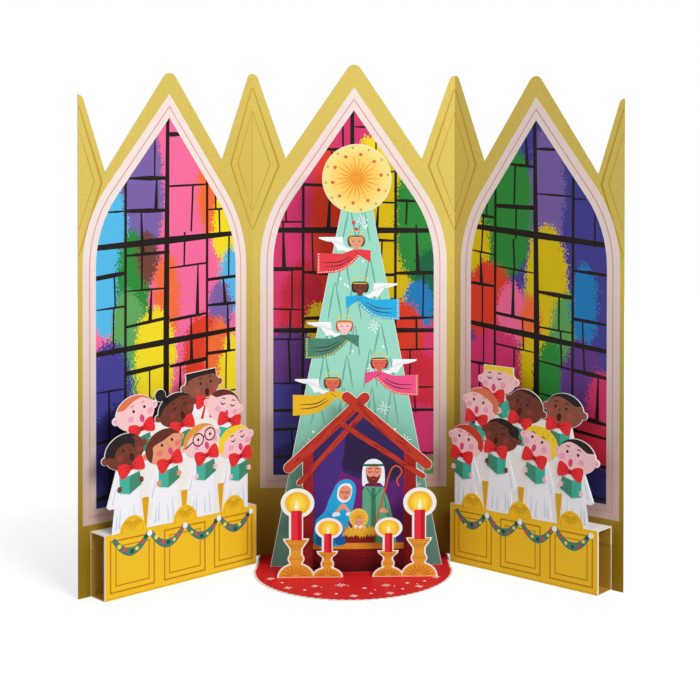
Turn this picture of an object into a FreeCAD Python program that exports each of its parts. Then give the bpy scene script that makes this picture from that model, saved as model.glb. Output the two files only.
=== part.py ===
import FreeCAD, Part
import math
import os
import Sketcher

# A pop-up greeting card, standing open.
# A tall backdrop of three panels is folded from one sheet, with a gable and spires die cut along its top.
# A half-round floor carries a tree, a stable and two pairs of candles, one layer in front of the other.
# Each wing carries a pew: a folded box with a die-cut panel of singers glued to its front.
#
# Frame: X to the right, Y to the back, Z up, millimetres.
# The origin lies on the table, under the middle of the standing card.

# Driving dimensions

SIZES = {
    # card stock
    "stock": 0.4,  # thickness of every sheet
    # backdrop, centre panel
    "centre_width": 103.0,  # from fold to fold
    "apex_height": 253.0,  # tip of the centre gable, before it is rounded
    "apex_round": 4.0,  # radius of the three gable tips
    "fold_spire_height": 244.7,  # top of the spires that stand on the folds
    "spire_round": 2.9,  # radius of the spire tips
    "centre_valley_height": 202.2,  # notch between the centre gable and a fold spire
    "centre_valley_in": 16.9,  # from the fold to that notch
    # backdrop, wings
    "wing_width": 97.2,  # from fold to free edge
    "wing_angle": 43.2,  # degrees that each wing comes forward
    "wing_apex_height": 242.6,  # tip of a wing's gable, before it is rounded
    "wing_apex_in": 49.2,  # from the fold to that tip
    "wing_valley_height": 200.2,  # notch between a wing's gable and the fold spire
    "wing_valley_in": 18.8,  # from the fold to that notch
    "edge_valley_height": 190.8,  # notch between a wing's gable and the half spire at its edge
    "edge_valley_in": 13.5,  # from the free edge to that notch
    "edge_spire_height": 224.5,  # top of the half spire at the free edge
    # floor
    "floor_inset": 3.6,  # from each fold to the floor's side
    "floor_centre": 25.5,  # from the centre panel to the centre of the half round
    "scallop_pitch": 3.5,  # along the rim
    "scallop_rise": 0.6,  # how far a scallop stands out
    "floor_tab": 12.0,  # height of the hinge tab glued behind the centre panel
    "slot_clearance": 0.3,  # beside the floor where it passes under the centre panel
    # tree
    "tree_distance": 20.6,  # from the centre panel's front to the tree's front
    "tree_shift": 1.4,  # how far right of the card's middle it stands
    "tree_inset": 5.7,  # from the floor's side to the tree's foot corner
    "tree_top_width": 13.6,
    "tree_top_height": 180.0,
    "star_radius": 17.0,
    "star_seat": 10.6,  # from the tree's top up to the disc's centre
    "first_angel_drop": 36.0,  # from the tree's top down to the hem of the highest angel, at the left
    "second_angel_drop": 58.6,  # the next ones stand at the right and the left by turns
    "third_angel_drop": 77.7,
    "fourth_angel_drop": 96.0,
    "fifth_angel_drop": 105.6,
    "first_angel_overhang": 6.9,  # how far a gown's hem stands past the tree's edge
    "second_angel_overhang": 3.9,
    "third_angel_overhang": 4.4,
    "fourth_angel_overhang": 5.9,
    "fifth_angel_overhang": 4.8,
    "gown_length": 26.5,
    "gown_height": 12.3,
    "wing_rise": 18.1,  # top of an angel's wing above the gown's hem
    # stable
    "stable_distance": 31.2,  # from the centre panel's front to the stable's front
    "stable_shift": 2.05,  # of the stable's middle line to the right of the card's middle
    "left_wall_reach": 26.7,  # from the stable's middle line to a wall's outer edge
    "right_wall_reach": 28.3,
    "ridge_height": 81.0,  # where the roof logs cross
    "ridge_shift": -0.7,  # of the crossing from the stable's middle line
    "eave_reach": 33.3,  # from the middle line to the centre of a roof log's lower end
    "left_eave_height": 50.9,
    "right_eave_height": 52.2,
    "log_width": 5.2,
    "left_log_overrun": 5.4,  # how far the log from the left eave runs past the crossing
    "right_log_overrun": 6.2,
    "rafter_width": 3.0,
    "rafter_drop": 11.7,  # from the ridge down to where the rafters cross
    "left_rafter_reach": 28.2,  # from the middle line to the rafter's lower end
    "left_rafter_height": 43.6,
    "right_rafter_reach": 31.4,
    "right_rafter_height": 46.6,
    # candles
    "candle_distance": 39.3,  # from the centre panel's front to the candles' front
    "candle_shift": 1.9,  # how far right of the card's middle both pairs stand
    "left_glow_shift": 0.7,  # of a glow to the right of its candle
    "right_glow_shift": 0.35,
    "dish_rim": 1.4,  # height of a dish's straight rim
    "dish_taper": 0.6,  # how far the rim leans in
    "holder_lap": 1.0,  # how far a candle and its neck run into the dish and the foot
    "tall_candle_offset": 29.2,  # from the middle of both pairs to a tall candle
    "tall_flame_height": 35.7,  # centre of its glow
    "tall_glow_width": 15.9,
    "tall_glow_height": 14.1,
    "tall_candle_width": 6.7,  # with its white border
    "tall_dish_height": 18.9,
    "tall_dish_width": 12.5,
    "tall_neck_width": 6.4,
    "tall_knob_height": 9.3,
    "tall_knob_width": 8.0,
    "tall_foot_height": 7.0,
    "tall_foot_width": 17.8,
    "short_candle_offset": 14.4,
    "short_flame_height": 23.6,
    "short_glow_width": 13.0,
    "short_glow_height": 10.0,
    "short_candle_width": 5.2,
    "short_dish_height": 12.9,
    "short_dish_width": 10.3,
    "short_neck_width": 5.0,
    "short_knob_height": 6.8,
    "short_knob_width": 6.4,
    "short_foot_height": 5.0,
    "short_foot_width": 14.9,
    # pews
    "pew_clearance": 0.35,  # between the floor's side and the pew's inner front corner
    "pew_margin": 6.0,  # from the pew's outer end to the wing's free edge
    "pew_height": 29.3,
    "pew_depth": 12.2,  # from the wing to the front of the singers' panel
    "pew_flap": 8.0,  # glued flap inside the box
    "dome_width": 13.6,  # a fan-shaped pew end
    "dome_rise": 7.2,
    # singers, measured on their panel
    "singer_pitch": 20.9,  # front row
    "front_head_height": 65.0,
    "back_head_pitch": 24.5,
    "back_head_shift": 3.0,  # of the back row, away from the fold
    "back_head_height": 80.6,
    "top_head_height": 92.4,
    "top_head_shift": 11.0,  # of the top singer, towards the fold
    "head_width": 20.4,
    "head_height": 16.0,
    "ear_radius": 1.9,
    "bun_radius": 3.0,
    "bun_shift": 8.6,  # of a bun from the middle of its head
    "bun_rise": 7.4,
    "neck_rise": 4.0,  # from the shoulders up to a head's centre
    "flat_hair_width": 17.6,
    "flat_hair_rise": 7.0,  # above the top singer's head centre
    "flat_head_height": 13.4,  # of the head under the flat hair
    "shoulder_width": 6.0,
    "sleeve_reach": 8.9,  # from a singer's middle to the hem of the sleeve that faces away from the fold
    "sleeve_height": 41.7,
    "elbow_reach": 8.0,  # from a singer's middle to the elbow that faces the fold
    "elbow_height": 49.0,
    "cuff_taper": 1.2,  # how far a sleeve's lower corner is set in
    "cuff_drop": 1.2,  # of the sleeve's hem below its widest point
    "robe_width": 13.6,
    # tabs and struts
    "foot_tab": 6.0,  # depth of the tabs that stand a layer on the floor
    "tab_inset": 5.0,  # from a layer's side to its foot tab
    "strut_tab": 6.0,  # height of a strut's glued tabs
    "tree_strut_height": 100.0,
    "tree_strut_width": 30.0,
    "star_strut_drop": 14.0,  # below the tree's top
    "star_strut_width": 10.0,
    "stable_strut_height": 52.0,
    "stable_strut_width": 34.0,
    "candle_strut_height": 5.4,
    "candle_strut_width": 6.0,
    "candle_strut_tab": 3.4,
}

doc = FreeCAD.newDocument("greeting_card")
sheet = doc.addObject("Spreadsheet::Sheet", "Sizes")
sheet.Label = "driving dimensions"
for row, (alias, number) in enumerate(SIZES.items(), 1):
    sheet.set(f"A{row}", alias)
    sheet.set(f"B{row}", str(number))
    sheet.setAlias(f"B{row}", alias)
doc.recompute()

COUNT_SINGERS_FRONT = 4
COUNT_DOMES = 3
ANGELS = ("first", "second", "third", "fourth", "fifth")

# How each singer stands, from the fold outwards, against a row's even places: millimetres away from
# the fold, millimetres up, and degrees that the head leans, anticlockwise as seen from the front.
FRONT_STANCES = {
    -1: ((2.6, -2.8, 17), (1.7, 0.4, 17), (1.4, 0.2, 21), (0.9, 0.4, 18)),
    1: ((0.0, -3.3, -13), (-0.3, 1.9, -12), (1.0, 0.4, -20), (-0.3, -3.4, -11)),
}
BACK_STANCES = {
    -1: ((-0.6, 0.0, -14), (1.9, 0.7, 18), (-0.8, 1.6, 17)),
    1: ((-1.0, 0.0, -12), (0.1, 1.3, -18), (-2.9, 1.4, -9)),
}
TOP_STANCES = {-1: (1.4, -0.9, 6), 1: (-1.9, 0.5, -2)}

# An angel's outline: shares of the gown's length inwards from its hem, and of its height or the wing's
GOWN_OUTLINE = (
    (0.0, 0.0),
    (0.0, 0.83),
    (0.47, 0.8),
    (0.6, 0.9),
    (0.73, 1.0),
    (1.0, 0.93),
    (0.99, 0.46),
    (0.8, 0.73),
    (0.66, 0.41),
    (0.51, 0.17),
    (0.34, 0.05),
)
WING_OUTLINE = (
    (0.035, 0.99),
    (0.48, 1.0),
    (0.49, 0.81),
    (0.67, 0.67),
    (0.56, 0.59),
    (0.39, 0.62),
    (0.31, 0.81),
    (0.28, 0.86),
    (0.18, 0.88),
    (0.04, 0.95),
)

# How flat a candle holder's knob is, its height as a share of its width
KNOB_FLATNESS = 0.8


def size(alias):
    """One driving dimension as a plain number."""
    return float(sheet.get(alias))


def point(x, z):
    """A point of a die-cut sheet, whose front face lies in its own XZ plane."""
    return FreeCAD.Vector(x, 0, z)


# The frame's origin, from how far the card reaches forward and back

STOCK = size("stock")
ANGLE = math.radians(size("wing_angle"))
FLOOR_RADIUS = size("centre_width") / 2 - size("floor_inset")
FLOOR_REACH = size("floor_centre") + FLOOR_RADIUS + size("scallop_rise")
PEW_START_RULE = (
    "((Sizes.pew_clearance - Sizes.floor_inset + Sizes.pew_depth * sin(Sizes.wing_angle))"
    " / cos(Sizes.wing_angle))"
)
PEW_LENGTH_RULE = f"Sizes.wing_width - Sizes.pew_margin - {PEW_START_RULE}"
PEW_START = float(sheet.evalExpression(PEW_START_RULE))
PEW_LENGTH = float(sheet.evalExpression(PEW_LENGTH_RULE))
PEW_MIDDLE = PEW_START + PEW_LENGTH / 2
SINGERS_END = (
    PEW_MIDDLE
    + (COUNT_SINGERS_FRONT - 1) / 2 * size("singer_pitch")
    + size("head_width") / 2
    + size("ear_radius")
)
WING_REACH = size("wing_width") * math.sin(ANGLE)
PEW_REACH = SINGERS_END * math.sin(ANGLE) + size("pew_depth") * math.cos(ANGLE)
FRONT_REACH = max(FLOOR_REACH, WING_REACH, PEW_REACH)
BACK_REACH = 2 * STOCK
ORIGIN_Y = (FRONT_REACH - BACK_REACH) / 2


def place_in_front(feature, layer):
    """A layer parallel to the centre panel, its own distance in front of it, standing on the floor."""
    place = FreeCAD.Vector(size(f"{layer}_shift"), ORIGIN_Y - size(f"{layer}_distance"), 0)
    feature.Placement = FreeCAD.Placement(place, FreeCAD.Rotation())


def place_on_wing(feature, side, along=0.0, out=0.0):
    """A piece on a wing (side 1 is the right one), from the fold along it and out from its face."""
    turn = FreeCAD.Rotation(FreeCAD.Vector(0, 0, 1), -side * size("wing_angle"))
    fold = FreeCAD.Vector(side * size("centre_width") / 2, ORIGIN_Y, 0)
    feature.Placement = FreeCAD.Placement(fold + turn.multVec(FreeCAD.Vector(side * along, -out, 0)), turn)


# Sketches whose corners are bound to the sheet


def origin_plane(body, role):
    """One of a body's own origin planes."""
    return next(feature for feature in body.Origin.OriginFeatures if feature.Role == role)


def new_sketch(body, name, role):
    """A sketch on one of the body's origin planes."""
    sketch = body.newObject("Sketcher::SketchObject", name)
    sketch.AttachmentSupport = [(origin_plane(body, role), "")]
    sketch.MapMode = "FlatFace"
    return sketch


def bind(sketch, kind, element, vertex, expression):
    """A distance from the sketch's origin that follows an expression."""
    number = float(sheet.evalExpression(expression))
    index = sketch.addConstraint(Sketcher.Constraint(kind, element, vertex, number))
    sketch.setExpression(f"Constraints[{index}]", expression)


def tangent_point(centre, radius, outside, turn):
    """Where a line from an outside point touches a circle, on the side that turn (1 or -1) gives."""
    away = outside - centre
    angle = math.atan2(away.y, away.x) + turn * math.acos(radius / away.Length)
    return centre + FreeCAD.Vector(radius * math.cos(angle), radius * math.sin(angle), 0)


def bound_outline(sketch, corners, round_tips=None):
    """A closed outline, anticlockwise, through corners given as pairs of expressions.

    round_tips maps a corner's number to the side, after or before, on which a quarter of a rounded spire
    tip leads down to the next slope. The tip's centre lies straight below that corner.
    """
    round_tips = round_tips or {}
    spots = [FreeCAD.Vector(*(float(sheet.evalExpression(part)) for part in pair), 0) for pair in corners]
    radius = size("spire_round")
    starts = []
    ends = []
    joints = []
    for number, start in enumerate(spots):
        following = (number + 1) % len(spots)
        end = spots[following]
        if round_tips.get(number) == "after":
            centre = start - FreeCAD.Vector(0, radius, 0)
            touch = tangent_point(centre, radius, end, -1)
            circle = Part.Circle(centre, FreeCAD.Vector(0, 0, 1), radius)
            finish = math.atan2(touch.y - centre.y, touch.x - centre.x)
            arc = sketch.addGeometry(Part.ArcOfCircle(circle, math.pi / 2, finish), False)
            line = sketch.addGeometry(Part.LineSegment(touch, end), False)
            joints.append((arc, line, arc, number))
            starts.append(arc)
            ends.append(line)
        elif round_tips.get(following) == "before":
            centre = end - FreeCAD.Vector(0, radius, 0)
            touch = tangent_point(centre, radius, start, 1)
            circle = Part.Circle(centre, FreeCAD.Vector(0, 0, 1), radius)
            begin = math.atan2(touch.y - centre.y, touch.x - centre.x)
            line = sketch.addGeometry(Part.LineSegment(start, touch), False)
            arc = sketch.addGeometry(Part.ArcOfCircle(circle, begin, math.pi / 2), False)
            joints.append((line, arc, arc, following))
            starts.append(line)
            ends.append(arc)
        else:
            line = sketch.addGeometry(Part.LineSegment(start, end), False)
            starts.append(line)
            ends.append(line)
    for first, second, arc, number in joints:
        sketch.addConstraint(Sketcher.Constraint("Tangent", first, 2, second, 1))
        bind(sketch, "DistanceX", arc, 3, corners[number][0])
        bind(sketch, "DistanceY", arc, 3, f"{corners[number][1]} - Sizes.spire_round")
    for number in range(len(spots)):
        sketch.addConstraint(Sketcher.Constraint("Coincident", ends[number - 1], 2, starts[number], 1))
        bind(sketch, "DistanceX", starts[number], 1, corners[number][0])
        bind(sketch, "DistanceY", starts[number], 1, corners[number][1])


def new_body(label):
    """An empty body under its own label."""
    body = doc.addObject("PartDesign::Body", label)
    body.Label = label
    return body


def sheet_pad(body, sketch):
    """The sketched outline as a sheet of card that reaches back from its own front face."""
    pad = body.newObject("PartDesign::Pad", "sheet")
    pad.Profile = sketch
    pad.setExpression("Length", "Sizes.stock")
    pad.Reversed = True
    sketch.Visibility = False
    doc.recompute()
    return pad


def round_corner(body, base, x, z):
    """Rounds the sheet's corner at this place, a gable's tip."""
    near = 0.01
    names = []
    for number, edge in enumerate(base.Shape.Edges, 1):
        box = edge.BoundBox
        upright = abs(box.XMin - x) + abs(box.XMax - x) + abs(box.ZMin - z) + abs(box.ZMax - z)
        if upright < near:
            names.append(f"Edge{number}")
    fillet = body.newObject("PartDesign::Fillet", "gable_tip")
    fillet.Base = (base, names)
    fillet.setExpression("Radius", "Sizes.apex_round")
    doc.recompute()
    return fillet


# Backdrop: three panels of one folded sheet


def make_centre_panel():
    """The centre panel, notched below where the floor passes under it."""
    body = new_body("centre_panel")
    half = "Sizes.centre_width / 2"
    slot = f"({half} - Sizes.floor_inset + Sizes.slot_clearance)"
    valley = f"({half} - Sizes.centre_valley_in)"
    corners = [
        (f"-{half}", "0"),
        (f"-{slot}", "0"),
        (f"-{slot}", "Sizes.stock"),
        (slot, "Sizes.stock"),
        (slot, "0"),
        (half, "0"),
        (half, "Sizes.fold_spire_height"),
        (valley, "Sizes.centre_valley_height"),
        ("0", "Sizes.apex_height"),
        (f"-{valley}", "Sizes.centre_valley_height"),
        (f"-{half}", "Sizes.fold_spire_height"),
    ]
    sketch = new_sketch(body, "outline", "XZ_Plane")
    bound_outline(sketch, corners, {6: "after", 10: "before"})
    pad = sheet_pad(body, sketch)
    round_corner(body, pad, 0.0, size("apex_height"))
    body.Placement = FreeCAD.Placement(FreeCAD.Vector(0, ORIGIN_Y, 0), FreeCAD.Rotation())
    return body


def make_wing_panel(side):
    """One wing, drawn from its fold outwards and turned forward about it."""
    body = new_body("right_wing" if side > 0 else "left_wing")
    corners = [
        ("0", "0"),
        ("Sizes.wing_width", "0"),
        ("Sizes.wing_width", "Sizes.edge_spire_height"),
        ("(Sizes.wing_width - Sizes.edge_valley_in)", "Sizes.edge_valley_height"),
        ("Sizes.wing_apex_in", "Sizes.wing_apex_height"),
        ("Sizes.wing_valley_in", "Sizes.wing_valley_height"),
        ("0", "Sizes.fold_spire_height"),
    ]
    round_tips = {2: "after", 6: "before"}
    if side < 0:
        corners = [(f"-{x}", z) for x, z in reversed(corners)]
        round_tips = {0: "after", 4: "before"}
    sketch = new_sketch(body, "outline", "XZ_Plane")
    bound_outline(sketch, corners, round_tips)
    pad = sheet_pad(body, sketch)
    round_corner(body, pad, side * size("wing_apex_in"), size("wing_apex_height"))
    place_on_wing(body, side)
    return body


def make_fold(side):
    """The rounded outside of a fold, a wedge between the two panels' back faces."""
    fold = doc.addObject("Part::Cylinder", "right_fold" if side > 0 else "left_fold")
    fold.setExpression("Radius", "Sizes.stock")
    fold.setExpression("Height", "Sizes.fold_spire_height")
    fold.setExpression("Angle", "Sizes.wing_angle")
    start = 90 - size("wing_angle") if side > 0 else 90
    turn = FreeCAD.Rotation(FreeCAD.Vector(0, 0, 1), start)
    base = FreeCAD.Vector(side * size("centre_width") / 2, ORIGIN_Y, 0)
    fold.Placement = FreeCAD.Placement(base, turn)
    return fold


def make_backdrop():
    """The whole backdrop as one folded sheet."""
    backdrop = doc.addObject("Part::MultiFuse", "backdrop")
    backdrop.Label = "backdrop"
    backdrop.Shapes = [
        make_centre_panel(),
        make_wing_panel(1),
        make_wing_panel(-1),
        make_fold(1),
        make_fold(-1),
    ]
    backdrop.Refine = True
    return backdrop


# Die-cut sheets whose outline is a union of simple shapes


def polygon(corners):
    """A flat polygon in the sheet's front face."""
    spots = [point(x, z) for x, z in corners]
    return Part.Face(Part.makePolygon(spots + spots[:1]))


def oval(x, z, width, height, tilt=0.0):
    """A flat oval in the sheet's front face, tilted by some degrees."""
    if width >= height:
        curve = Part.Ellipse(FreeCAD.Vector(0, 0, 0), width / 2, height / 2)
        turn = tilt
    else:
        curve = Part.Ellipse(FreeCAD.Vector(0, 0, 0), height / 2, width / 2)
        turn = tilt + 90
    face = Part.Face(Part.Wire(curve.toShape()))
    face.Placement = FreeCAD.Placement(point(x, z), FreeCAD.Rotation(FreeCAD.Vector(1, 0, 0), 90)).multiply(
        FreeCAD.Placement(FreeCAD.Vector(0, 0, 0), FreeCAD.Rotation(FreeCAD.Vector(0, 0, 1), turn))
    )
    return face


def disc(x, z, radius):
    """A flat disc in the sheet's front face."""
    circle = Part.Circle(point(x, z), FreeCAD.Vector(0, 1, 0), radius)
    return Part.Face(Part.Wire(circle.toShape()))


def rectangle(x_low, x_high, z_low, z_high):
    """A flat rectangle in the sheet's front face."""
    return polygon([(x_low, z_low), (x_high, z_low), (x_high, z_high), (x_low, z_high)])


def log_shapes(start, end, width):
    """A straight bar with round ends, as three flat shapes."""
    run = FreeCAD.Vector(end[0] - start[0], end[1] - start[1], 0)
    side = FreeCAD.Vector(-run.y, run.x, 0).normalize() * (width / 2)
    bar = polygon(
        [
            (start[0] + side.x, start[1] + side.y),
            (end[0] + side.x, end[1] + side.y),
            (end[0] - side.x, end[1] - side.y),
            (start[0] - side.x, start[1] - side.y),
        ]
    )
    return [bar, disc(start[0], start[1], width / 2), disc(end[0], end[1], width / 2)]


def foot_tab(x_low, x_high):
    """A tab folded back from a sheet's foot and lying on the floor."""
    return Part.makeBox(x_high - x_low, size("foot_tab"), STOCK, point(x_low, STOCK))


def die_cut(label, faces, solids=()):
    """One sheet cut to the union of the flat shapes, with any folded tabs."""
    pieces = [face.extrude(FreeCAD.Vector(0, STOCK, 0)) for face in faces] + list(solids)
    shape = pieces[0].multiFuse(pieces[1:]).removeSplitter()
    feature = doc.addObject("Part::Feature", label)
    feature.Label = label
    feature.Shape = shape.Solids[0] if len(shape.Solids) == 1 else shape
    return feature


# Floor: a half-round sheet with a scalloped rim, hinged behind the centre panel


def make_floor():
    """The floor, with its hinge tab folded up behind the centre panel."""
    count = round(math.pi * FLOOR_RADIUS / size("scallop_pitch"))
    back = ORIGIN_Y + STOCK
    middle = FreeCAD.Vector(0, ORIGIN_Y - size("floor_centre"), 0)

    def rim(step, radius):
        """A point on the rim, from the left side round the front to the right."""
        angle = math.pi * (1 + step / count)
        return middle + FreeCAD.Vector(radius * math.cos(angle), radius * math.sin(angle), 0)

    edges = []
    for step in range(count):
        tip = rim(step + 0.5, FLOOR_RADIUS + size("scallop_rise"))
        edges.append(Part.Arc(rim(step, FLOOR_RADIUS), tip, rim(step + 1, FLOOR_RADIUS)).toShape())
    back_left = FreeCAD.Vector(-FLOOR_RADIUS, back, 0)
    back_right = FreeCAD.Vector(FLOOR_RADIUS, back, 0)
    edges.append(Part.LineSegment(rim(count, FLOOR_RADIUS), back_right).toShape())
    edges.append(Part.LineSegment(back_right, back_left).toShape())
    edges.append(Part.LineSegment(back_left, rim(0, FLOOR_RADIUS)).toShape())
    slab = Part.Face(Part.Wire(edges)).extrude(FreeCAD.Vector(0, 0, STOCK))
    tab = Part.makeBox(2 * FLOOR_RADIUS, STOCK, size("floor_tab"), back_left)
    feature = doc.addObject("Part::Feature", "floor")
    feature.Label = "floor"
    feature.Shape = slab.fuse(tab).removeSplitter().Solids[0]
    return feature


# Tree: a tapered sheet with a star disc on top and angels standing past its sides


def tree_half_width(height):
    """Half of the tree's width at this height."""
    top = size("tree_top_height")
    top_half = size("tree_top_width") / 2
    foot_half = FLOOR_RADIUS - size("tree_inset")
    return top_half + (foot_half - top_half) * (top - height) / (top - STOCK)


def angel_outline(side, hem, height):
    """A gown and a wing: hem is the gown's outer end, side -1 points it to the left."""
    length = size("gown_length")
    shapes = ((GOWN_OUTLINE, size("gown_height")), (WING_OUTLINE, size("wing_rise")))
    return [
        polygon([(hem - side * inward * length, height + up * tall) for inward, up in outline])
        for outline, tall in shapes
    ]


def make_tree():
    """The tree sheet, standing on a tab on the floor."""
    foot = FLOOR_RADIUS - size("tree_inset")
    top = size("tree_top_width") / 2
    height = size("tree_top_height")
    faces = [polygon([(-foot, STOCK), (foot, STOCK), (top, height), (-top, height)])]
    faces.append(disc(0, height + size("star_seat"), size("star_radius")))
    for number, angel in enumerate(ANGELS):
        side = -1 if number % 2 == 0 else 1
        hem_height = height - size(f"{angel}_angel_drop")
        reach = tree_half_width(hem_height + size("gown_height") / 2) + size(f"{angel}_angel_overhang")
        faces += angel_outline(side, side * reach, hem_height)
    inset = size("tab_inset")
    tree = die_cut("tree", faces, [foot_tab(-foot + inset, foot - inset)])
    place_in_front(tree, "tree")
    return tree


# Stable: walls under two crossed roof logs


def make_stable():
    """The stable sheet, standing on a tab on the floor."""
    ridge = size("ridge_height")
    middle = size("ridge_shift")
    reach = size("eave_reach")
    crossing = (middle, ridge - size("rafter_drop"))
    walls = {}
    logs = []
    for side, name in ((-1, "left"), (1, "right")):
        eave = size(f"{name}_eave_height")
        slope = (ridge - eave) / (reach - side * middle)
        over = size(f"{name}_log_overrun") / math.hypot(1, slope)
        high = (middle - side * over, ridge + over * slope)
        logs += log_shapes((side * reach, eave), high, size("log_width"))
        rafter_low = (side * size(f"{name}_rafter_reach"), size(f"{name}_rafter_height"))
        logs += log_shapes(rafter_low, crossing, size("rafter_width"))
        wall = size(f"{name}_wall_reach")
        wall_top = eave + slope * (reach - wall)
        walls[side] = [(side * wall, STOCK), (side * wall, wall_top)]
    front = polygon(walls[1] + [(middle, ridge)] + walls[-1][::-1])
    inset = size("tab_inset")
    tab = foot_tab(inset - size("left_wall_reach"), size("right_wall_reach") - inset)
    stable = die_cut("stable", [front] + logs, [tab])
    place_in_front(stable, "stable")
    return stable


# Candle pairs: a tall and a short candle cut from one sheet


def candle_outline(kind, x, glow_shift):
    """One candle in its holder, with the white border: foot, knob, neck, dish, candle and glow."""
    foot = size(f"{kind}_foot_width")
    foot_height = size(f"{kind}_foot_height")
    knob = size(f"{kind}_knob_width")
    neck = size(f"{kind}_neck_width")
    dish = size(f"{kind}_dish_width")
    dish_height = size(f"{kind}_dish_height")
    knob_height = size(f"{kind}_knob_height")
    candle = size(f"{kind}_candle_width")
    flame = size(f"{kind}_flame_height")
    neck_height = (knob_height + dish_height) / 2
    rim = dish_height - size("dish_rim")
    taper = size("dish_taper")
    lap = size("holder_lap")
    box = rectangle(x - foot, x + foot, STOCK, foot_height + STOCK)
    bell = oval(x, STOCK, foot, 2 * foot_height).common(box)
    bowl = polygon(
        [
            (x - dish / 2, dish_height),
            (x - dish / 2 + taper, rim),
            (x - neck / 2, neck_height),
            (x + neck / 2, neck_height),
            (x + dish / 2 - taper, rim),
            (x + dish / 2, dish_height),
        ]
    )
    return [
        bell.Faces[0],
        oval(x, knob_height, knob, knob * KNOB_FLATNESS),
        rectangle(x - neck / 2, x + neck / 2, foot_height - lap, neck_height + lap),
        bowl,
        rectangle(x - candle / 2, x + candle / 2, dish_height - lap, flame),
        oval(x + glow_shift, flame, size(f"{kind}_glow_width"), size(f"{kind}_glow_height")),
    ]


def make_candle_pair(side):
    """A tall candle outside and a short one inside, standing on a tab on the floor."""
    name = "right" if side > 0 else "left"
    tall = side * size("tall_candle_offset")
    short = side * size("short_candle_offset")
    glow_shift = size(f"{name}_glow_shift")
    faces = candle_outline("tall", tall, glow_shift) + candle_outline("short", short, glow_shift)
    link_height = STOCK + size("short_foot_height") / 4
    faces.append(rectangle(min(tall, short), max(tall, short), STOCK, link_height))
    pair = die_cut(f"{name}_candles", faces, [foot_tab(min(tall, short), max(tall, short))])
    place_in_front(pair, "candle")
    return pair


# Pews: a folded box on each wing, with the panel of singers on its front


def make_pew_box(side):
    """The box: a strip folded into a tube, its end flap glued inside against the back."""
    body = new_body("right_pew_box" if side > 0 else "left_pew_box")
    front = "-(Sizes.pew_depth - Sizes.stock)"
    outer = [(front, "0"), ("0", "0"), ("0", "Sizes.pew_height"), (front, "Sizes.pew_height")]
    inside = f"({front} + Sizes.stock)"
    flap_back = "-2 * Sizes.stock"
    top = "(Sizes.pew_height - Sizes.stock)"
    inner = [
        (inside, "Sizes.stock"),
        ("-Sizes.stock", "Sizes.stock"),
        ("-Sizes.stock", f"({top} - Sizes.pew_flap)"),
        (flap_back, f"({top} - Sizes.pew_flap)"),
        (flap_back, top),
        (inside, top),
    ]
    pad = None
    for name, corners, kind in (("section", outer, "Pad"), ("hollow", inner, "Pocket")):
        sketch = new_sketch(body, name, "YZ_Plane")
        bound_outline(sketch, corners)
        feature = body.newObject(f"PartDesign::{kind}", f"{name}_{kind.lower()}")
        feature.Profile = sketch
        sketch.Visibility = False
        if kind == "Pad":
            feature.setExpression("Length", PEW_LENGTH_RULE)
            feature.Reversed = side < 0
            pad = feature
        else:
            feature.Type = "ThroughAll"
            feature.Midplane = True
        doc.recompute()
    hollow = pad.Shape.Volume - body.Shape.Volume
    if hollow < pad.Shape.Volume / 2:
        raise RuntimeError("the pew box is not hollow")
    place_on_wing(body, side, PEW_START)
    return body


def leaned(x, z, lean, across, up):
    """A point given in a head's own frame, across and up from its centre."""
    turn = math.radians(lean)
    return (
        x + across * math.cos(turn) - up * math.sin(turn),
        z + across * math.sin(turn) + up * math.cos(turn),
    )


def singer_outline(x, head_height, foot, lean, head_tall):
    """A singer's head with ears and the robe below it, from the shoulders down to foot."""
    head = size("head_width")
    shoulder = size("shoulder_width") / 2
    body = size("robe_width") / 2
    neck = head_height - size("neck_rise")
    faces = [
        oval(x, head_height, head, head_tall, lean),
        polygon([(x - body, foot), (x + body, foot), (x + shoulder, neck), (x - shoulder, neck)]),
    ]
    for end in (-1, 1):
        faces.append(disc(*leaned(x, head_height, lean, end * head / 2, 0), size("ear_radius")))
    return faces


def sleeves_outline(x, side, foot, shoulders):
    """A front singer's hanging sleeve on the side away from the fold, and the bent arm on the other."""
    reach = size("sleeve_reach")
    hem = size("sleeve_height")
    cuff = size("cuff_taper")
    elbow = size("elbow_reach")
    shoulder = size("shoulder_width") / 2
    sleeve = [
        (x, hem - size("cuff_drop")),
        (x + side * (reach - cuff), hem - size("cuff_drop")),
        (x + side * reach, hem),
        (x + side * shoulder, shoulders),
        (x, shoulders),
    ]
    arm = [
        (x, foot),
        (x - side * elbow, foot),
        (x - side * elbow, size("elbow_height")),
        (x - side * shoulder, shoulders),
        (x, shoulders),
    ]
    return [polygon(sleeve), polygon(arm)]


def make_front_row(side):
    """The faces of a wing's four front singers, joined up to their shoulders."""
    foot = size("pew_height") / 2
    even = size("front_head_height")
    shoulders = even - size("neck_rise")
    places = []
    faces = []
    for number, (along, rise, lean) in enumerate(FRONT_STANCES[side]):
        offset = (number - (COUNT_SINGERS_FRONT - 1) / 2) * size("singer_pitch")
        x = side * (PEW_MIDDLE + offset + along)
        places.append(x)
        faces += singer_outline(x, even + rise, foot, lean, size("head_height"))
        faces += sleeves_outline(x, side, foot, shoulders + rise)
    faces.append(rectangle(min(places), max(places), foot, shoulders))
    return faces


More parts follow.
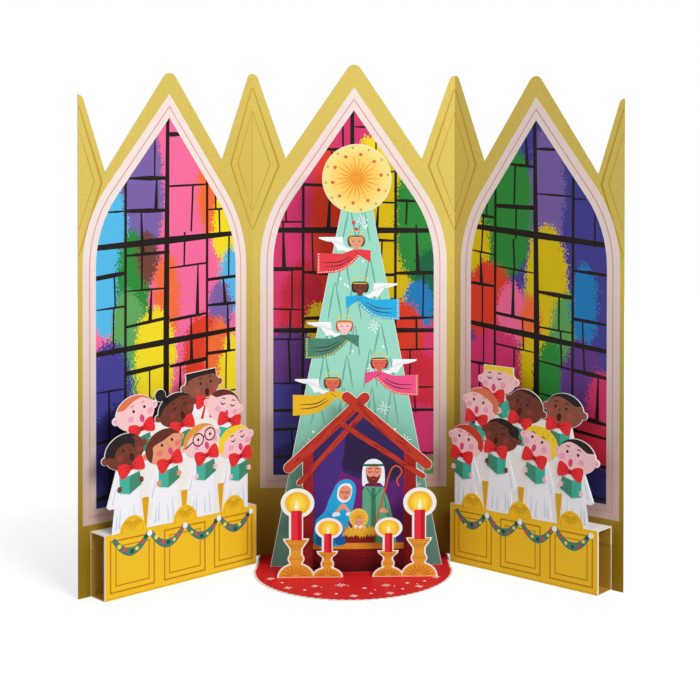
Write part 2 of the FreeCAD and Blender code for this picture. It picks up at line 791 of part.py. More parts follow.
def make_back_row(side):
    """The faces of a wing's three back singers and of the one above them."""
    foot = size("front_head_height") - size("neck_rise")
    even = size("back_head_height")
    shoulders = even - size("neck_rise")
    places = []
    faces = []
    for number, (along, rise, lean) in enumerate(BACK_STANCES[side], -1):
        x = side * (PEW_MIDDLE + size("back_head_shift") + number * size("back_head_pitch") + along)
        places.append(x)
        faces += singer_outline(x, even + rise, foot, lean, size("head_height"))
        if side < 0 and number == 0:
            faces.append(disc(x - size("bun_shift"), even + rise + size("bun_rise"), size("bun_radius")))
    faces.append(rectangle(min(places), max(places), foot, shoulders))
    along, rise, lean = TOP_STANCES[side]
    x = side * (PEW_MIDDLE - size("top_head_shift") + along)
    height = size("top_head_height") + rise
    hair = size("flat_hair_width") / 2
    top = size("flat_hair_rise")
    faces += singer_outline(x, height, shoulders, lean, size("flat_head_height"))
    corners = ((-hair, 0), (hair, 0), (hair, top), (-hair, top))
    faces.append(polygon([leaned(x, height, lean, across, up) for across, up in corners]))
    return faces


def make_singers_panel(side):
    """The pew's front with its domes and the singers above it, cut from one sheet."""
    top = size("pew_height")
    ends = sorted((side * PEW_START, side * (PEW_START + PEW_LENGTH)))
    faces = [rectangle(*ends, 0, top)]
    for number in range(COUNT_DOMES):
        x = side * (PEW_START + PEW_LENGTH * (number + 0.5) / COUNT_DOMES)
        faces.append(oval(x, top, size("dome_width"), 2 * size("dome_rise")))
    faces += make_front_row(side) + make_back_row(side)
    panel = die_cut("right_singers" if side > 0 else "left_singers", faces)
    place_on_wing(panel, side, 0.0, size("pew_depth"))
    return panel


# Struts: folded strips that hold the layers apart, hidden behind them


def make_strut(label, middle, back, front, height, width, tab):
    """A strip with a level web and two tabs folded down, glued to the sheets at back and front.

    back and front are expressions for the distances of the two glued faces from the centre panel's front,
    and middle is one for the strip's place to the right of the card's middle.
    """
    body = new_body(label)
    corners = [
        (f"-({back})", height),
        (f"-({front})", height),
        (f"-({front})", f"({height} - {tab})"),
        (f"-({front}) + Sizes.stock", f"({height} - {tab})"),
        (f"-({front}) + Sizes.stock", f"({height} - Sizes.stock)"),
        (f"-({back}) - Sizes.stock", f"({height} - Sizes.stock)"),
        (f"-({back}) - Sizes.stock", f"({height} - {tab})"),
        (f"-({back})", f"({height} - {tab})"),
    ]
    sketch = new_sketch(body, "section", "YZ_Plane")
    bound_outline(sketch, corners)
    pad = body.newObject("PartDesign::Pad", "strip")
    pad.Profile = sketch
    pad.setExpression("Length", width)
    pad.Midplane = True
    sketch.Visibility = False
    place = FreeCAD.Vector(float(sheet.evalExpression(middle)), ORIGIN_Y, 0)
    body.Placement = FreeCAD.Placement(place, FreeCAD.Rotation())
    return body


def make_struts():
    """The struts behind the tree, the stable and each pair of candles."""
    tree_back = "Sizes.tree_distance - Sizes.stock"
    stable_back = "Sizes.stable_distance - Sizes.stock"
    candle_back = "Sizes.candle_distance - Sizes.stock"
    star_height = "(Sizes.tree_top_height - Sizes.star_strut_drop)"
    middle = "Sizes.tree_shift"
    tab = "Sizes.strut_tab"
    tree_size = ("Sizes.tree_strut_height", "Sizes.tree_strut_width")
    struts = [
        make_strut("tree_strut", middle, "0", tree_back, *tree_size, tab),
        make_strut("star_strut", middle, "0", tree_back, star_height, "Sizes.star_strut_width", tab),
        make_strut(
            "stable_strut",
            "Sizes.stable_shift",
            "Sizes.tree_distance",
            stable_back,
            "Sizes.stable_strut_height",
            "Sizes.stable_strut_width",
            tab,
        ),
    ]
    for name, sign in (("left", "-"), ("right", "+")):
        struts.append(
            make_strut(
                f"{name}_candle_strut",
                f"Sizes.candle_shift {sign} Sizes.short_candle_offset",
                "Sizes.stable_distance",
                candle_back,
                "Sizes.candle_strut_height",
                "Sizes.candle_strut_width",
                "Sizes.candle_strut_tab",
            )
        )
    return struts


def check_and_export(features):
    """Every object is free of errors and every sub-part is a valid solid before anything is written."""
    doc.recompute()
    for item in doc.Objects:
        if "Invalid" in item.State or "Error" in item.State:
            raise RuntimeError(f"{item.Label} did not build: {item.State}")
    for feature in features:
        if feature.Shape.isNull() or not feature.Shape.isValid():
            raise RuntimeError(f"{feature.Label} has no valid shape")
        if len(feature.Shape.Solids) != 1:
            raise RuntimeError(f"{feature.Label} is {len(feature.Shape.Solids)} solids, not one sheet")
    os.makedirs("parts", exist_ok=True)
    for feature in features:
        feature.Shape.exportStep(f"parts/{feature.Label}.step")


def main():
    """Builds the card and writes one file for each sheet."""
    sheets = [make_backdrop(), make_floor(), make_tree(), make_stable()]
    for side in (-1, 1):
        sheets += [make_candle_pair(side), make_pew_box(side), make_singers_panel(side)]
    check_and_export(sheets + make_struts())


main()
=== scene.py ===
import functools
import math
import random

import bmesh
import bpy
from mathutils import Matrix, Vector


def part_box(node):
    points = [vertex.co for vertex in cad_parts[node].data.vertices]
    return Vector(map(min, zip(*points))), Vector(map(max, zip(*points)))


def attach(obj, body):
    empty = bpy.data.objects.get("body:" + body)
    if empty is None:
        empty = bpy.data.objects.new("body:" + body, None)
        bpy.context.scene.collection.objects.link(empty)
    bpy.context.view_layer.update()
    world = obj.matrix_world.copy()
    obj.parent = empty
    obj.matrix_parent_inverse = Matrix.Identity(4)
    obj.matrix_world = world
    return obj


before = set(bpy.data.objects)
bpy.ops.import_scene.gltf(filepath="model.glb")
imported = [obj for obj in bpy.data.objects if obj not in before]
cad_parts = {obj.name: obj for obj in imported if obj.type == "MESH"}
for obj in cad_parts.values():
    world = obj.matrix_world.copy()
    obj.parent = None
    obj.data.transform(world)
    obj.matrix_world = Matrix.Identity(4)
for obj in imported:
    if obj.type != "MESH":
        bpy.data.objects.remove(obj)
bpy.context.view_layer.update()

# Sizes are in millimetres on the sheets' own faces, and become metres when a piece is made.

MM = 0.001
ROOT = "root"

# The card as it is cut: the same driving dimensions as the solids

CENTRE_WIDTH = 103.0
WING_WIDTH = 97.2
WING_ANGLE = math.radians(43.2)
FLOOR_INSET = 3.6
FLOOR_CENTRE = 25.5
FLOOR_THICKNESS = 0.4
SCALLOP_PITCH = 3.5
SCALLOP_RISE = 0.6
TREE_SHIFT = 1.4
STABLE_SHIFT = 2.05
CANDLE_SHIFT = 1.9
TREE_DISTANCE = 20.6
STABLE_DISTANCE = 31.2
CANDLE_DISTANCE = 39.3
PEW_DEPTH = 12.2
PEW_HEIGHT = 29.3
PEW_CLEARANCE = 0.35
PEW_MARGIN = 6.0
PANEL_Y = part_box("tree_strut")[1].y / MM
FLOOR_RADIUS = CENTRE_WIDTH / 2 - FLOOR_INSET
PEW_START = (PEW_CLEARANCE - FLOOR_INSET + PEW_DEPTH * math.sin(WING_ANGLE)) / math.cos(WING_ANGLE)
PEW_LENGTH = WING_WIDTH - PEW_MARGIN - PEW_START
PEW_MIDDLE = PEW_START + PEW_LENGTH / 2

# Ink lies on the card in thin steps, one above the other

INK_BASE = 0.02
INK_STEP = 0.012

# Painted shade: the backdrop's gold and the windows' pale borders darken towards the floor between these
# heights, where the layers in front shade them

PAINTED_SHADE_HEIGHTS = (20, 155)

# Palette: red, green and blue as written in a colour picker

COLOURS = {
    # Card, gold and pews. The gold's darker colour is painted shade towards the floor
    "card": (243, 242, 238), "gold_high": (214, 190, 94), "gold_shaded": (150, 118, 20),
    "gold_line": (196, 158, 48), "pew": (246, 197, 40), "pew_line": (196, 138, 18),
    # The darker pew gold draws the domes' inner lines and a line along the foot, and is painted shade in
    # the gaps between the robes
    "pew_trim_and_shade": (222, 168, 28), "tube": (206, 164, 60),
    # Windows. The border's darker colour is painted shade towards the floor
    "border_high": (244, 229, 223), "border_shaded": (198, 170, 156), "border_line": (222, 142, 150),
    "lead": (24, 15, 13), "rose": (246, 110, 160), "magenta": (214, 56, 112), "crimson": (206, 44, 66),
    "scarlet": (224, 64, 40), "orange": (244, 112, 58), "lemon": (244, 224, 36),
    "amber": (222, 196, 14), "leaf": (96, 166, 92), "green": (44, 138, 56), "deep_green": (22, 98, 62),
    "sky": (84, 188, 236), "azure": (34, 128, 196), "violet": (122, 98, 168), "purple": (98, 58, 134),
    "indigo": (68, 64, 148), "navy": (44, 38, 100), "dusk": (34, 22, 52), "umber": (112, 66, 56),
    # Floor, garland and singers
    "red": (216, 32, 40), "white": (250, 250, 250), "garland": (78, 128, 112), "pine": (20, 84, 66),
    "dot_red": (220, 70, 84), "robe": (246, 248, 255), "robe_fold": (205, 222, 238),
    "bow": (234, 50, 54), "bow_dark": (178, 26, 38), "book_light": (66, 182, 158),
    "book_dark": (66, 140, 112), "mouth": (222, 70, 130), "mouth_dark": (72, 20, 20),
    "line": (48, 34, 32),
    # Skin and hair
    "fair": (252, 204, 206), "fair_blush": (247, 166, 196), "rosy_tan": (232, 148, 118),
    "tan": (232, 158, 122), "tan_blush": (232, 124, 110), "rosy": (226, 104, 84),
    "brown": (142, 84, 66), "brown_blush": (170, 82, 78), "deep": (112, 58, 44),
    "deep_blush": (146, 60, 54), "black_hair": (34, 27, 28), "dark_red_hair": (112, 26, 36),
    "brown_hair": (102, 48, 36), "red_hair": (204, 62, 44), "ginger_hair": (226, 120, 82),
    "blond_hair": (248, 214, 48), "sand_hair": (232, 154, 62),
    # Tree, star and angels
    "tree_high": (158, 222, 200), "tree_low": (92, 138, 124), "tree_line": (112, 172, 156),
    "star_core": (248, 164, 60), "star_mid": (253, 196, 86), "star_warm": (252, 216, 112),
    "star_edge": (246, 228, 142), "star_ray": (232, 146, 44), "star_dot": (224, 104, 58),
    "star_heart": (244, 158, 58), "ochre": (214, 170, 56), "halo": (240, 208, 92),
    "angel_red": (232, 62, 74), "angel_blue": (40, 176, 230), "angel_green": (74, 132, 110),
    "angel_pink": (240, 82, 136), "angel_yellow": (238, 186, 36), "angel_line": (70, 40, 60),
    "trim_light": (255, 232, 190), "trim_yellow": (250, 222, 70),
    # Stable and family. The riser's darker colour is painted shade towards its foot
    "wood": (186, 54, 36), "post": (162, 34, 34), "wood_line": (112, 18, 30),
    "riser_high": (130, 20, 26), "riser_shaded": (74, 6, 12), "riser_line": (80, 8, 16),
    "strip": (226, 152, 40), "night": (48, 32, 84), "night_deep": (40, 24, 62),
    "indigo_wall": (70, 42, 122), "plum_wall": (112, 28, 112), "violet_wall": (88, 32, 110),
    "cloak": (36, 168, 222), "cloak_dark": (26, 134, 196), "cloak_deep": (20, 104, 170),
    "veil": (236, 246, 250), "green_robe": (94, 166, 134), "green_dark": (56, 116, 84),
    "green_line": (36, 92, 70), "beard": (110, 42, 30), "crook": (206, 84, 44), "straw": (238, 186, 52),
    "straw_dark": (206, 132, 34), "manger": (128, 28, 26),
    # Candles
    "candle_light": (226, 44, 62), "candle_dark": (196, 20, 40), "flame": (255, 250, 226),
    "holder": (224, 158, 50), "holder_line": (182, 104, 26), "glow_core": (255, 236, 110),
    "glow_mid": (252, 210, 54), "glow_warm": (240, 180, 44), "glow_edge": (250, 216, 120),
}


def linear(name):
    """A palette colour as the linear values that shaders take."""
    return tuple(
        (part / 255 / 12.92) if part / 255 <= 0.04045 else ((part / 255 + 0.055) / 1.055) ** 2.4
        for part in COLOURS[name]
    ) + (1.0,)


# Materials


def new_material(name, rough=0.5, metal=0.0, sheen=0.15):
    """An empty node material with its node tree and its shader."""
    material = bpy.data.materials.new(name)
    material.use_nodes = True
    tree = material.node_tree
    shader = tree.nodes["Principled BSDF"]
    shader.inputs["Roughness"].default_value = rough
    shader.inputs["Metallic"].default_value = metal
    shader.inputs["Specular IOR Level"].default_value = sheen
    return material, tree, shader


def add_node(tree, kind, inputs, output=0, **settings):
    """One output of a new node. Each input is given a plain value, or another output to link."""
    node = tree.nodes.new(f"ShaderNode{kind}")
    for key, setting in settings.items():
        setattr(node, key, setting)
    for key, source in inputs.items():
        if isinstance(source, bpy.types.NodeSocket):
            tree.links.new(source, node.inputs[key])
        else:
            node.inputs[key].default_value = source
    return node.outputs[output]


def add_mix(tree, blend, factor, first, second):
    """A mix of two colours."""
    return add_node(tree, "Mix", {0: factor, 6: first, 7: second}, 2, data_type="RGBA", blend_type=blend)


def add_vector(tree, operation, first, second):
    """A sum, difference or product of two vectors."""
    return add_node(tree, "VectorMath", {0: first, 1: second}, operation=operation)


def add_length(tree, vector):
    """The length of a vector."""
    return add_node(tree, "VectorMath", {0: vector}, "Value", operation="LENGTH")


def object_place(tree):
    """The place on the sheet, in metres, with X across and Z up."""
    return add_node(tree, "TexCoord", {}, "Object")


def add_grain(tree, shader, colour, grain, size=0.5):
    """Fine paper grain: a mottled tint on the colour and a slight bump."""
    grains = {"Vector": object_place(tree), "Scale": 1 / (size * MM), "Detail": 3.0}
    noise = add_node(tree, "TexNoise", grains)
    limits = {"From Min": 0.3, "From Max": 0.7, "To Min": 1 - grain, "To Max": 1 + grain}
    tint = add_node(tree, "MapRange", {"Value": noise, **limits})
    grey = add_node(tree, "CombineColor", {"Red": tint, "Green": tint, "Blue": tint})
    tree.links.new(add_mix(tree, "MULTIPLY", 1.0, colour, grey), shader.inputs["Base Color"])
    relief = add_node(tree, "Bump", {"Strength": 0.3, "Distance": 0.03 * MM, "Height": noise})
    tree.links.new(relief, shader.inputs["Normal"])


# Inks. Each is made once, and is the same material wherever it is asked for again.


@functools.cache
def ink(name, grain=0.05, size=0.5, rough=0.5, metal=0.0):
    """A printed colour on coated card."""
    material, tree, shader = new_material(name, rough, metal)
    add_grain(tree, shader, linear(name), grain, size)
    return material


@functools.cache
def fading_ink(name, first, second, low, high, grain=0.05, metal=0.0):
    """A colour that fades to another between two heights on the sheet, in millimetres."""
    material, tree, shader = new_material(name, metal=metal)
    height = add_node(tree, "SeparateXYZ", {"Vector": object_place(tree)}, "Z")
    share = add_node(tree, "MapRange", {"Value": height, "From Min": low * MM, "From Max": high * MM})
    add_grain(tree, shader, add_mix(tree, "MIX", share, linear(first), linear(second)), grain)
    return material


@functools.cache
def glowing_ink(name, stops, x, z, reach):
    """Rings of colour round a point of the sheet, as printed light. stops gives the two ends first."""
    material, tree, shader = new_material(name)
    away = add_vector(tree, "SUBTRACT", object_place(tree), (x * MM, 0, z * MM))
    length = add_length(tree, add_vector(tree, "MULTIPLY", away, (1, 0, 1)))
    share = add_node(tree, "Math", {0: length, 1: reach * MM}, operation="DIVIDE")
    ramp = add_node(tree, "ValToRGB", {"Fac": share})
    elements = ramp.node.color_ramp.elements
    for number, (position, colour) in enumerate(stops):
        element = elements[number] if number < 2 else elements.new(position)
        element.position = position
        element.color = linear(colour)
    add_grain(tree, shader, ramp, 0.04)
    return material


# Flat outlines, in millimetres, anticlockwise as seen from the front


def rim_point(x, z, angle, across, up=None):
    """A point on a circle round a place, or on an oval if the half height is given too."""
    return x + across * math.cos(angle), z + (across if up is None else up) * math.sin(angle)


def mirrored(half):
    """A whole outline from its right half."""
    return list(half) + [(-x, z) for x, z in reversed(half)]


def oval(x, z, width, height, steps=36):
    """Points round an oval."""
    return [rim_point(x, z, 2 * math.pi * step / steps, width / 2, height / 2) for step in range(steps)]


def rectangle(x_low, x_high, z_low, z_high):
    """The four corners of a rectangle."""
    return [(x_low, z_low), (x_high, z_low), (x_high, z_high), (x_low, z_high)]


def smooth(points, closed=True, steps=5):
    """A rounded line through the points."""
    count = len(points)
    made = []
    for number in range(count if closed else count - 1):
        if closed:
            near = [points[(number + shift) % count] for shift in (-1, 0, 1, 2)]
        else:
            near = [points[min(max(number + shift, 0), count - 1)] for shift in (-1, 0, 1, 2)]
        for step in range(steps):
            share = step / steps
            weights = (
                -0.5 * share + share**2 - 0.5 * share**3,
                1 - 2.5 * share**2 + 1.5 * share**3,
                0.5 * share + 2 * share**2 - 1.5 * share**3,
                -0.5 * share**2 + 0.5 * share**3,
            )
            made.append(tuple(sum(w * p[axis] for w, p in zip(weights, near)) for axis in (0, 1)))
    if not closed:
        made.append(points[-1])
    return made


def band(points, widths):
    """The outline of a stroke along points. widths is one width, or a width at each end and one between."""
    count = len(points)
    if isinstance(widths, (int, float)):
        widths = (widths, widths, widths)
    left = []
    right = []
    for number, (x, z) in enumerate(points):
        before = points[max(number - 1, 0)]
        after = points[min(number + 1, count - 1)]
        run = Vector((after[0] - before[0], after[1] - before[1])).normalized()
        share = number / (count - 1)
        if share < 0.5:
            width = widths[0] + (widths[1] - widths[0]) * share * 2
        else:
            width = widths[1] + (widths[2] - widths[1]) * (share * 2 - 1)
        left.append((x - run.y * width / 2, z + run.x * width / 2))
        right.append((x + run.y * width / 2, z - run.x * width / 2))
    return right + left[::-1]


def bar(start, end, widths, steps=4):
    """A straight stroke, which may swell or thin out."""
    points = [
        (start[0] + (end[0] - start[0]) * step / steps, start[1] + (end[1] - start[1]) * step / steps)
        for step in range(steps + 1)
    ]
    return band(points, widths)


def turned(points, x, z, lean, flip=1):
    """Points in a figure's own frame, flipped if need be, leaned by some degrees and set at a place."""
    angle = math.radians(lean)
    return [
        (
            x + flip * u * math.cos(angle) - v * math.sin(angle),
            z + flip * u * math.sin(angle) + v * math.cos(angle),
        )
        for u, v in points
    ]


class Print:
    """Ink shapes on one sheet, each a thin closed plate, gathered into one mesh."""

    def __init__(self, name, place, slot):
        self.name = name
        self.place = place
        self.slot = slot
        self.mesh = bmesh.new()
        self.materials = []

    def index(self, material):
        """The place of a material in this piece's list."""
        if isinstance(material, str):
            material = ink(material)
        if material not in self.materials:
            self.materials.append(material)
        return self.materials.index(material)

    def ring_of(self, points, lift):
        """Vertices of an outline at a height above the card."""
        return [self.mesh.verts.new((x * MM, -lift * MM, z * MM)) for x, z in points]

    def fill(self, points, material, level=0, hole=None):
        """One filled shape, with an optional hole that has as many points as the outline."""
        area = sum(
            points[n - 1][0] * points[n][1] - points[n][0] * points[n - 1][1] for n in range(len(points))
        )
        if area < 0:
            points = points[::-1]
            hole = hole[::-1] if hole else None
        number = self.index(material)
        lift = INK_BASE + INK_STEP * level
        front = self.ring_of(points, lift)
        back = self.ring_of(points, 0.0)
        faces = []
        if hole:
            hole_front = self.ring_of(hole, lift)
            hole_back = self.ring_of(hole, 0.0)
            for n in range(len(points)):
                faces.append((front[n - 1], front[n], hole_front[n], hole_front[n - 1]))
                faces.append((back[n], back[n - 1], hole_back[n - 1], hole_back[n]))
                faces.append((hole_front[n - 1], hole_front[n], hole_back[n], hole_back[n - 1]))
        else:
            faces.append(tuple(front))
            faces.append(tuple(reversed(back)))
        for n in range(len(points)):
            faces.append((front[n], front[n - 1], back[n - 1], back[n]))
        for corners in faces:
            self.mesh.faces.new(corners).material_index = number

    def line(self, points, widths, material, level=0):
        """One stroke along points."""
        self.fill(band(points, widths), material, level)

    def bar(self, start, end, widths, material, level):
        """One straight stroke."""
        self.fill(bar(start, end, widths), material, level)

    def finish(self):
        """The finished piece, in its place on the card."""
        data = bpy.data.meshes.new(self.name)
        self.mesh.to_mesh(data)
        self.mesh.free()
        for material in self.materials:
            data.materials.append(material)
        piece = bpy.data.objects.new(self.name, data)
        bpy.context.scene.collection.objects.link(piece)
        piece.matrix_world = self.place
        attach(piece, ROOT)
        return piece


# Where the sheets' faces are


def panel_place():
    """The face of the centre panel."""
    return Matrix.Translation((0, PANEL_Y * MM, 0))


def layer_place(distance, shift=0.0):
    """The face of a layer that stands on the floor, with X 0 on the layer's middle line."""
    return Matrix.Translation((shift * MM, (PANEL_Y - distance) * MM, 0))


def wing_place(side, out=0.0):
    """A wing's face, or a plane in front of it. X runs to the right, and is 0 at the fold."""
    turn = Matrix.Rotation(-side * WING_ANGLE, 4, "Z")
    fold = Matrix.Translation((side * CENTRE_WIDTH / 2 * MM, PANEL_Y * MM, 0))
    return fold @ turn @ Matrix.Translation((0, -out * MM, 0))


def floor_place():
    """The floor's top, with the drawing's upward direction pointing to the back."""
    return Matrix.Translation((0, (PANEL_Y - FLOOR_CENTRE) * MM, FLOOR_THICKNESS * MM)) @ Matrix.Rotation(
        -math.pi / 2, 4, "X"
    )


# Materials of the sheets themselves


def paint_faces(node, material, chosen):
    """Gives a material to the faces of a sheet that a test on centre and normal picks."""
    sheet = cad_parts[node]
    sheet.data.materials.append(material)
    number = len(sheet.data.materials) - 1
    for face in sheet.data.polygons:
        if chosen(face.center, face.normal):
            face.material_index = number


def dress_sheets():
    """White card everywhere, gold on the backdrop's front with painted shade towards the floor, and gold
    inside the pews.
    """
    for name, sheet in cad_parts.items():
        sheet.data.materials.clear()
        sheet.data.materials.append(ink("card", grain=0.02, size=0.4, rough=0.7))
        for face in sheet.data.polygons:
            face.material_index = 0
    # Painted shade: the gold turns darker and more saturated towards the floor, where the layers in front
    # shade it
    gold = fading_ink("gold", "gold_shaded", "gold_high", *PAINTED_SHADE_HEIGHTS, grain=0.1, metal=0.15)
    facing = [Vector((0, -1, 0))]
    for side in (-1, 1):
        facing.append(Vector((-side * math.sin(WING_ANGLE), -math.cos(WING_ANGLE), 0)))
    paint_faces("backdrop", gold, lambda centre, normal: any(normal.dot(way) > 0.99 for way in facing))
    for side, node in ((-1, "left_pew_box"), (1, "right_pew_box")):
        place = wing_place(side).inverted()
        middle = Vector((side * PEW_MIDDLE * MM, -PEW_DEPTH / 2 * MM, PEW_HEIGHT / 2 * MM))

        def inside(centre, normal, place=place, middle=middle):
            """True for a face that looks towards the middle of the box."""
            local = place @ centre - middle
            way = place.to_3x3() @ normal
            local.x = 0
            return abs(way.x) < 0.5 and local.dot(way) < 0

        paint_faces(node, ink("tube", grain=0.06, rough=0.45, metal=0.2), inside)


# Windows: how far the glass and the border's fine line lie inside the border's edge

GLASS_INSET = 6.65
LINE_INSET = 3.3
LINE_WIDTH = 0.45

# Dabs of the stained glass: their size, and how far they push the borders of the colours

DABS = ((0.95, 15.0), (7.0, 6.0))


def gothic(window, inset):
    """A pointed window round X 0, drawn in: straight sides, rounded shoulders and straight slopes."""
    steps = 8
    half = window["half"] - inset
    lean = math.atan(window["slope"])
    radius = window["radius"] - inset
    tip = window["apex"] - inset / math.sin(lean)
    centre_z = tip - half / window["slope"] - radius * math.tan(lean / 2)
    turns = [lean * step / steps for step in range(steps + 1)]
    shoulder = [rim_point(half - radius, centre_z, turn, radius) for turn in turns]
    outline = mirrored([(half, window["bottom"] + inset)] + shoulder)
    return outline[: len(outline) // 2] + [(0, tip)] + outline[len(outline) // 2 :]


def colour_field(name, base, fields):
    """Stained glass: fields of colour that break up into small dabs along their borders.

    fields lists a colour, a centre and two half widths for each, from the lowest to the uppermost.
    """
    material, tree, shader = new_material(name, rough=0.45)
    place = object_place(tree)
    moved = add_vector(tree, "MULTIPLY", place, (1, 0, 1))
    upright = add_vector(tree, "MULTIPLY", place, (1.0, 1.0, 0.75))
    for size, spread in DABS:
        noise = {"Vector": upright, "Scale": 1 / (size * MM), "Detail": 2.0, "Roughness": 0.7}
        dabs = add_vector(tree, "SUBTRACT", add_node(tree, "TexNoise", noise, "Color"), (0.5, 0.5, 0.5))
        push = add_vector(tree, "MULTIPLY", dabs, (spread * MM, 0, spread * MM))
        moved = add_vector(tree, "ADD", moved, push)
    colour = linear(base)
    for field, x, z, reach_x, reach_z in fields:
        away = add_vector(tree, "SUBTRACT", moved, (x * MM, 0, z * MM))
        share = add_vector(tree, "MULTIPLY", away, (1 / (reach_x * MM), 0, 1 / (reach_z * MM)))
        within = add_node(tree, "Math", {0: add_length(tree, share), 1: 1.0}, operation="LESS_THAN")
        colour = add_mix(tree, "MIX", within, colour, linear(field))
    add_grain(tree, shader, colour, 0.06, 0.6)
    return material


# Fields of each window: colour, place from the window's middle, height, half width and half height

CENTRE_FIELDS = [
    ("scarlet", -12, 168, 10, 40), ("crimson", -26, 120, 12, 30), ("amber", 20, 160, 12, 66),
    ("lemon", 12, 206, 9, 9), ("green", 34, 172, 13, 34), ("deep_green", 39, 138, 9, 18),
    ("azure", 33, 128, 8, 12), ("scarlet", 24, 112, 12, 18), ("lemon", -18, 108, 8, 20),
    ("purple", -32, 96, 16, 20), ("crimson", 32, 78, 16, 26), ("magenta", 34, 60, 12, 18),
    ("indigo", -30, 66, 18, 24), ("navy", -26, 46, 22, 12), ("leaf", 40, 44, 7, 6),
]
LEFT_FIELDS = [
    ("violet", -16, 182, 13, 36), ("sky", -34, 152, 13, 36), ("green", -20, 134, 9, 30),
    ("leaf", -22, 112, 9, 26), ("umber", -12, 152, 6, 12), ("orange", 24, 184, 8, 22),
    ("lemon", 33, 166, 8, 20), ("sky", 36, 140, 7, 16), ("violet", 30, 128, 7, 12),
    ("orange", -1, 134, 7, 20), ("lemon", -8, 104, 11, 24), ("scarlet", 20, 104, 12, 20),
    ("orange", 29, 96, 9, 26), ("lemon", 36, 84, 8, 30), ("indigo", -32, 88, 12, 26),
    # The dusk and navy fields low down are partly the glass's own dark colours and partly painted shade
    # that the singers cast
    ("navy", -24, 54, 25, 30), ("dusk", -6, 60, 26, 26), ("dusk", 26, 52, 22, 16),
]
RIGHT_FIELDS = [
    ("violet", 6, 180, 10, 36), ("green", -17, 176, 15, 34), ("amber", -36, 158, 9, 14),
    ("amber", 6, 138, 12, 30), ("scarlet", -28, 130, 14, 20), ("rose", -14, 124, 9, 16),
    ("orange", -3, 118, 6, 16), ("leaf", 18, 118, 9, 18), ("azure", 27, 130, 7, 20),
    ("magenta", -24, 96, 18, 22), ("amber", -2, 96, 7, 20), ("green", 8, 88, 9, 26),
    # The dusk and navy fields low down are partly the glass's own dark colours and partly painted shade
    # that the singers cast
    ("purple", 26, 92, 12, 22), ("magenta", 36, 76, 8, 24), ("dusk", 2, 58, 26, 22),
    ("crimson", 32, 62, 12, 16), ("navy", 34, 46, 14, 10),
]

# Each window: its border's middle, half width, bottom and apex, the slopes' run over rise, the shoulders'
# radius, the glass's first colour and its fields, and the leading with the bow and tilt of its bars

WING_MIDDLE = 49.45
WING_WINDOW = {"half": 45.6, "bottom": 32.2, "apex": 229.5, "slope": 0.74, "radius": 62}
WINDOWS = {
    "left": {
        **WING_WINDOW,
        "place": wing_place(-1),
        "middle": -WING_MIDDLE,
        "base": "rose",
        "fields": LEFT_FIELDS,
        "mullions": (-24.0, 21.4),
        "bow": -1.4,
        "transoms": (160.2, 112.2, 72.0),
        "tilt": 0.1,
    },
    "centre": {
        "place": panel_place(),
        "middle": 0.0,
        "half": 47.5,
        "bottom": 34.5,
        "apex": 238.5,
        "slope": 0.69,
        "radius": 67,
        "base": "magenta",
        "fields": CENTRE_FIELDS,
        "mullions": (-26.0, 21.0),
        "bow": 0.0,
        "transoms": (165.7, 114.7, 74.0),
        "tilt": 0.0,
    },
    "right": {
        **WING_WINDOW,
        "place": wing_place(1),
        "middle": WING_MIDDLE,
        "base": "indigo",
        "fields": RIGHT_FIELDS,
        "mullions": (-24.2, 20.6),
        "bow": 1.0,
        "transoms": (163.0, 114.2, 74.0),
        "tilt": -0.13,
    },
}


def leading(window, glass, middle, seed):
    """Leaded bars: mullions, transoms, and short bars in each column at heights drawn from the seed."""
    draw = random.Random(seed)

    def lead(points, widths, level):
        """A bar of lead along points that are given from the window's middle."""
        glass.line([(middle + x, z) for x, z in points], widths, "lead", level)

    half = window["half"] - GLASS_INSET
    bottom = window["bottom"] + GLASS_INSET - 1
    slope = window["slope"]
    tilt = window["tilt"]
    tip = window["apex"] - GLASS_INSET / math.sin(math.atan(slope))

    def reach(z):
        """How far the glass, and a little of the border, reaches from the middle at a height."""
        return min(half, max((tip - z) * slope, 0)) + 1.2

    bow = window["bow"]
    lead([(bow - 0.6, bottom), (bow - 0.4, 120), (-0.9, tip + 2)], (2.9, 3.2, 1.9), 1)
    for z, width in zip(window["transoms"], (3.1, 2.8, 1.8)):
        points = [(way * reach(z), z + way * reach(z) * tilt) for way in (-1, 0, 1)]
        lead(points, (width * 0.8, width * 1.1, width * 0.7), 2)
    low_mullion, high_mullion = window["mullions"]
    columns = [-half - 1, low_mullion, 0.0, high_mullion, half + 1]
    for x in (low_mullion, high_mullion):
        top = tip - abs(x) / slope + 1.5
        lead([(x, bottom), (x + 0.3, top)], (1.3, 1.7, 1.4), 3)
    for low, high in zip(columns, columns[1:]):
        z = bottom + draw.uniform(4, 12)
        limit = tip - min(abs(low), abs(high)) / slope - 6
        while z < limit:
            left = max(low, -reach(z))
            right = min(high, reach(z))
            centre = (left + right) / 2
            if right - left > 4 and min(abs(z - t) for t in window["transoms"]) > 4:
                lean = tilt + draw.uniform(-0.06, 0.06)
                width = draw.choice((1.0, 1.6, 2.2))
                ends = (draw.uniform(0.4, 1.0), draw.uniform(0.4, 1.0))
                points = [(x, z + tilt * centre + lean * (x - centre)) for x in (left, centre, right)]
                lead(points, (width * ends[0], width, width * ends[1]), 4)
            step = draw.uniform(12, 25)
            if right - left > 12 and draw.random() < 0.75:
                x = draw.uniform(left + 5, right - 5)
                widths = draw.choice(((0.8, 2.0, 0.8), (2.1, 1.6, 0.7), (0.9, 1.2, 1.0)))
                end = (x + draw.uniform(-1.2, 1.2), min(z + step, limit) + tilt * x)
                lead([(x, z + tilt * x), end], widths, 5)
            z += step


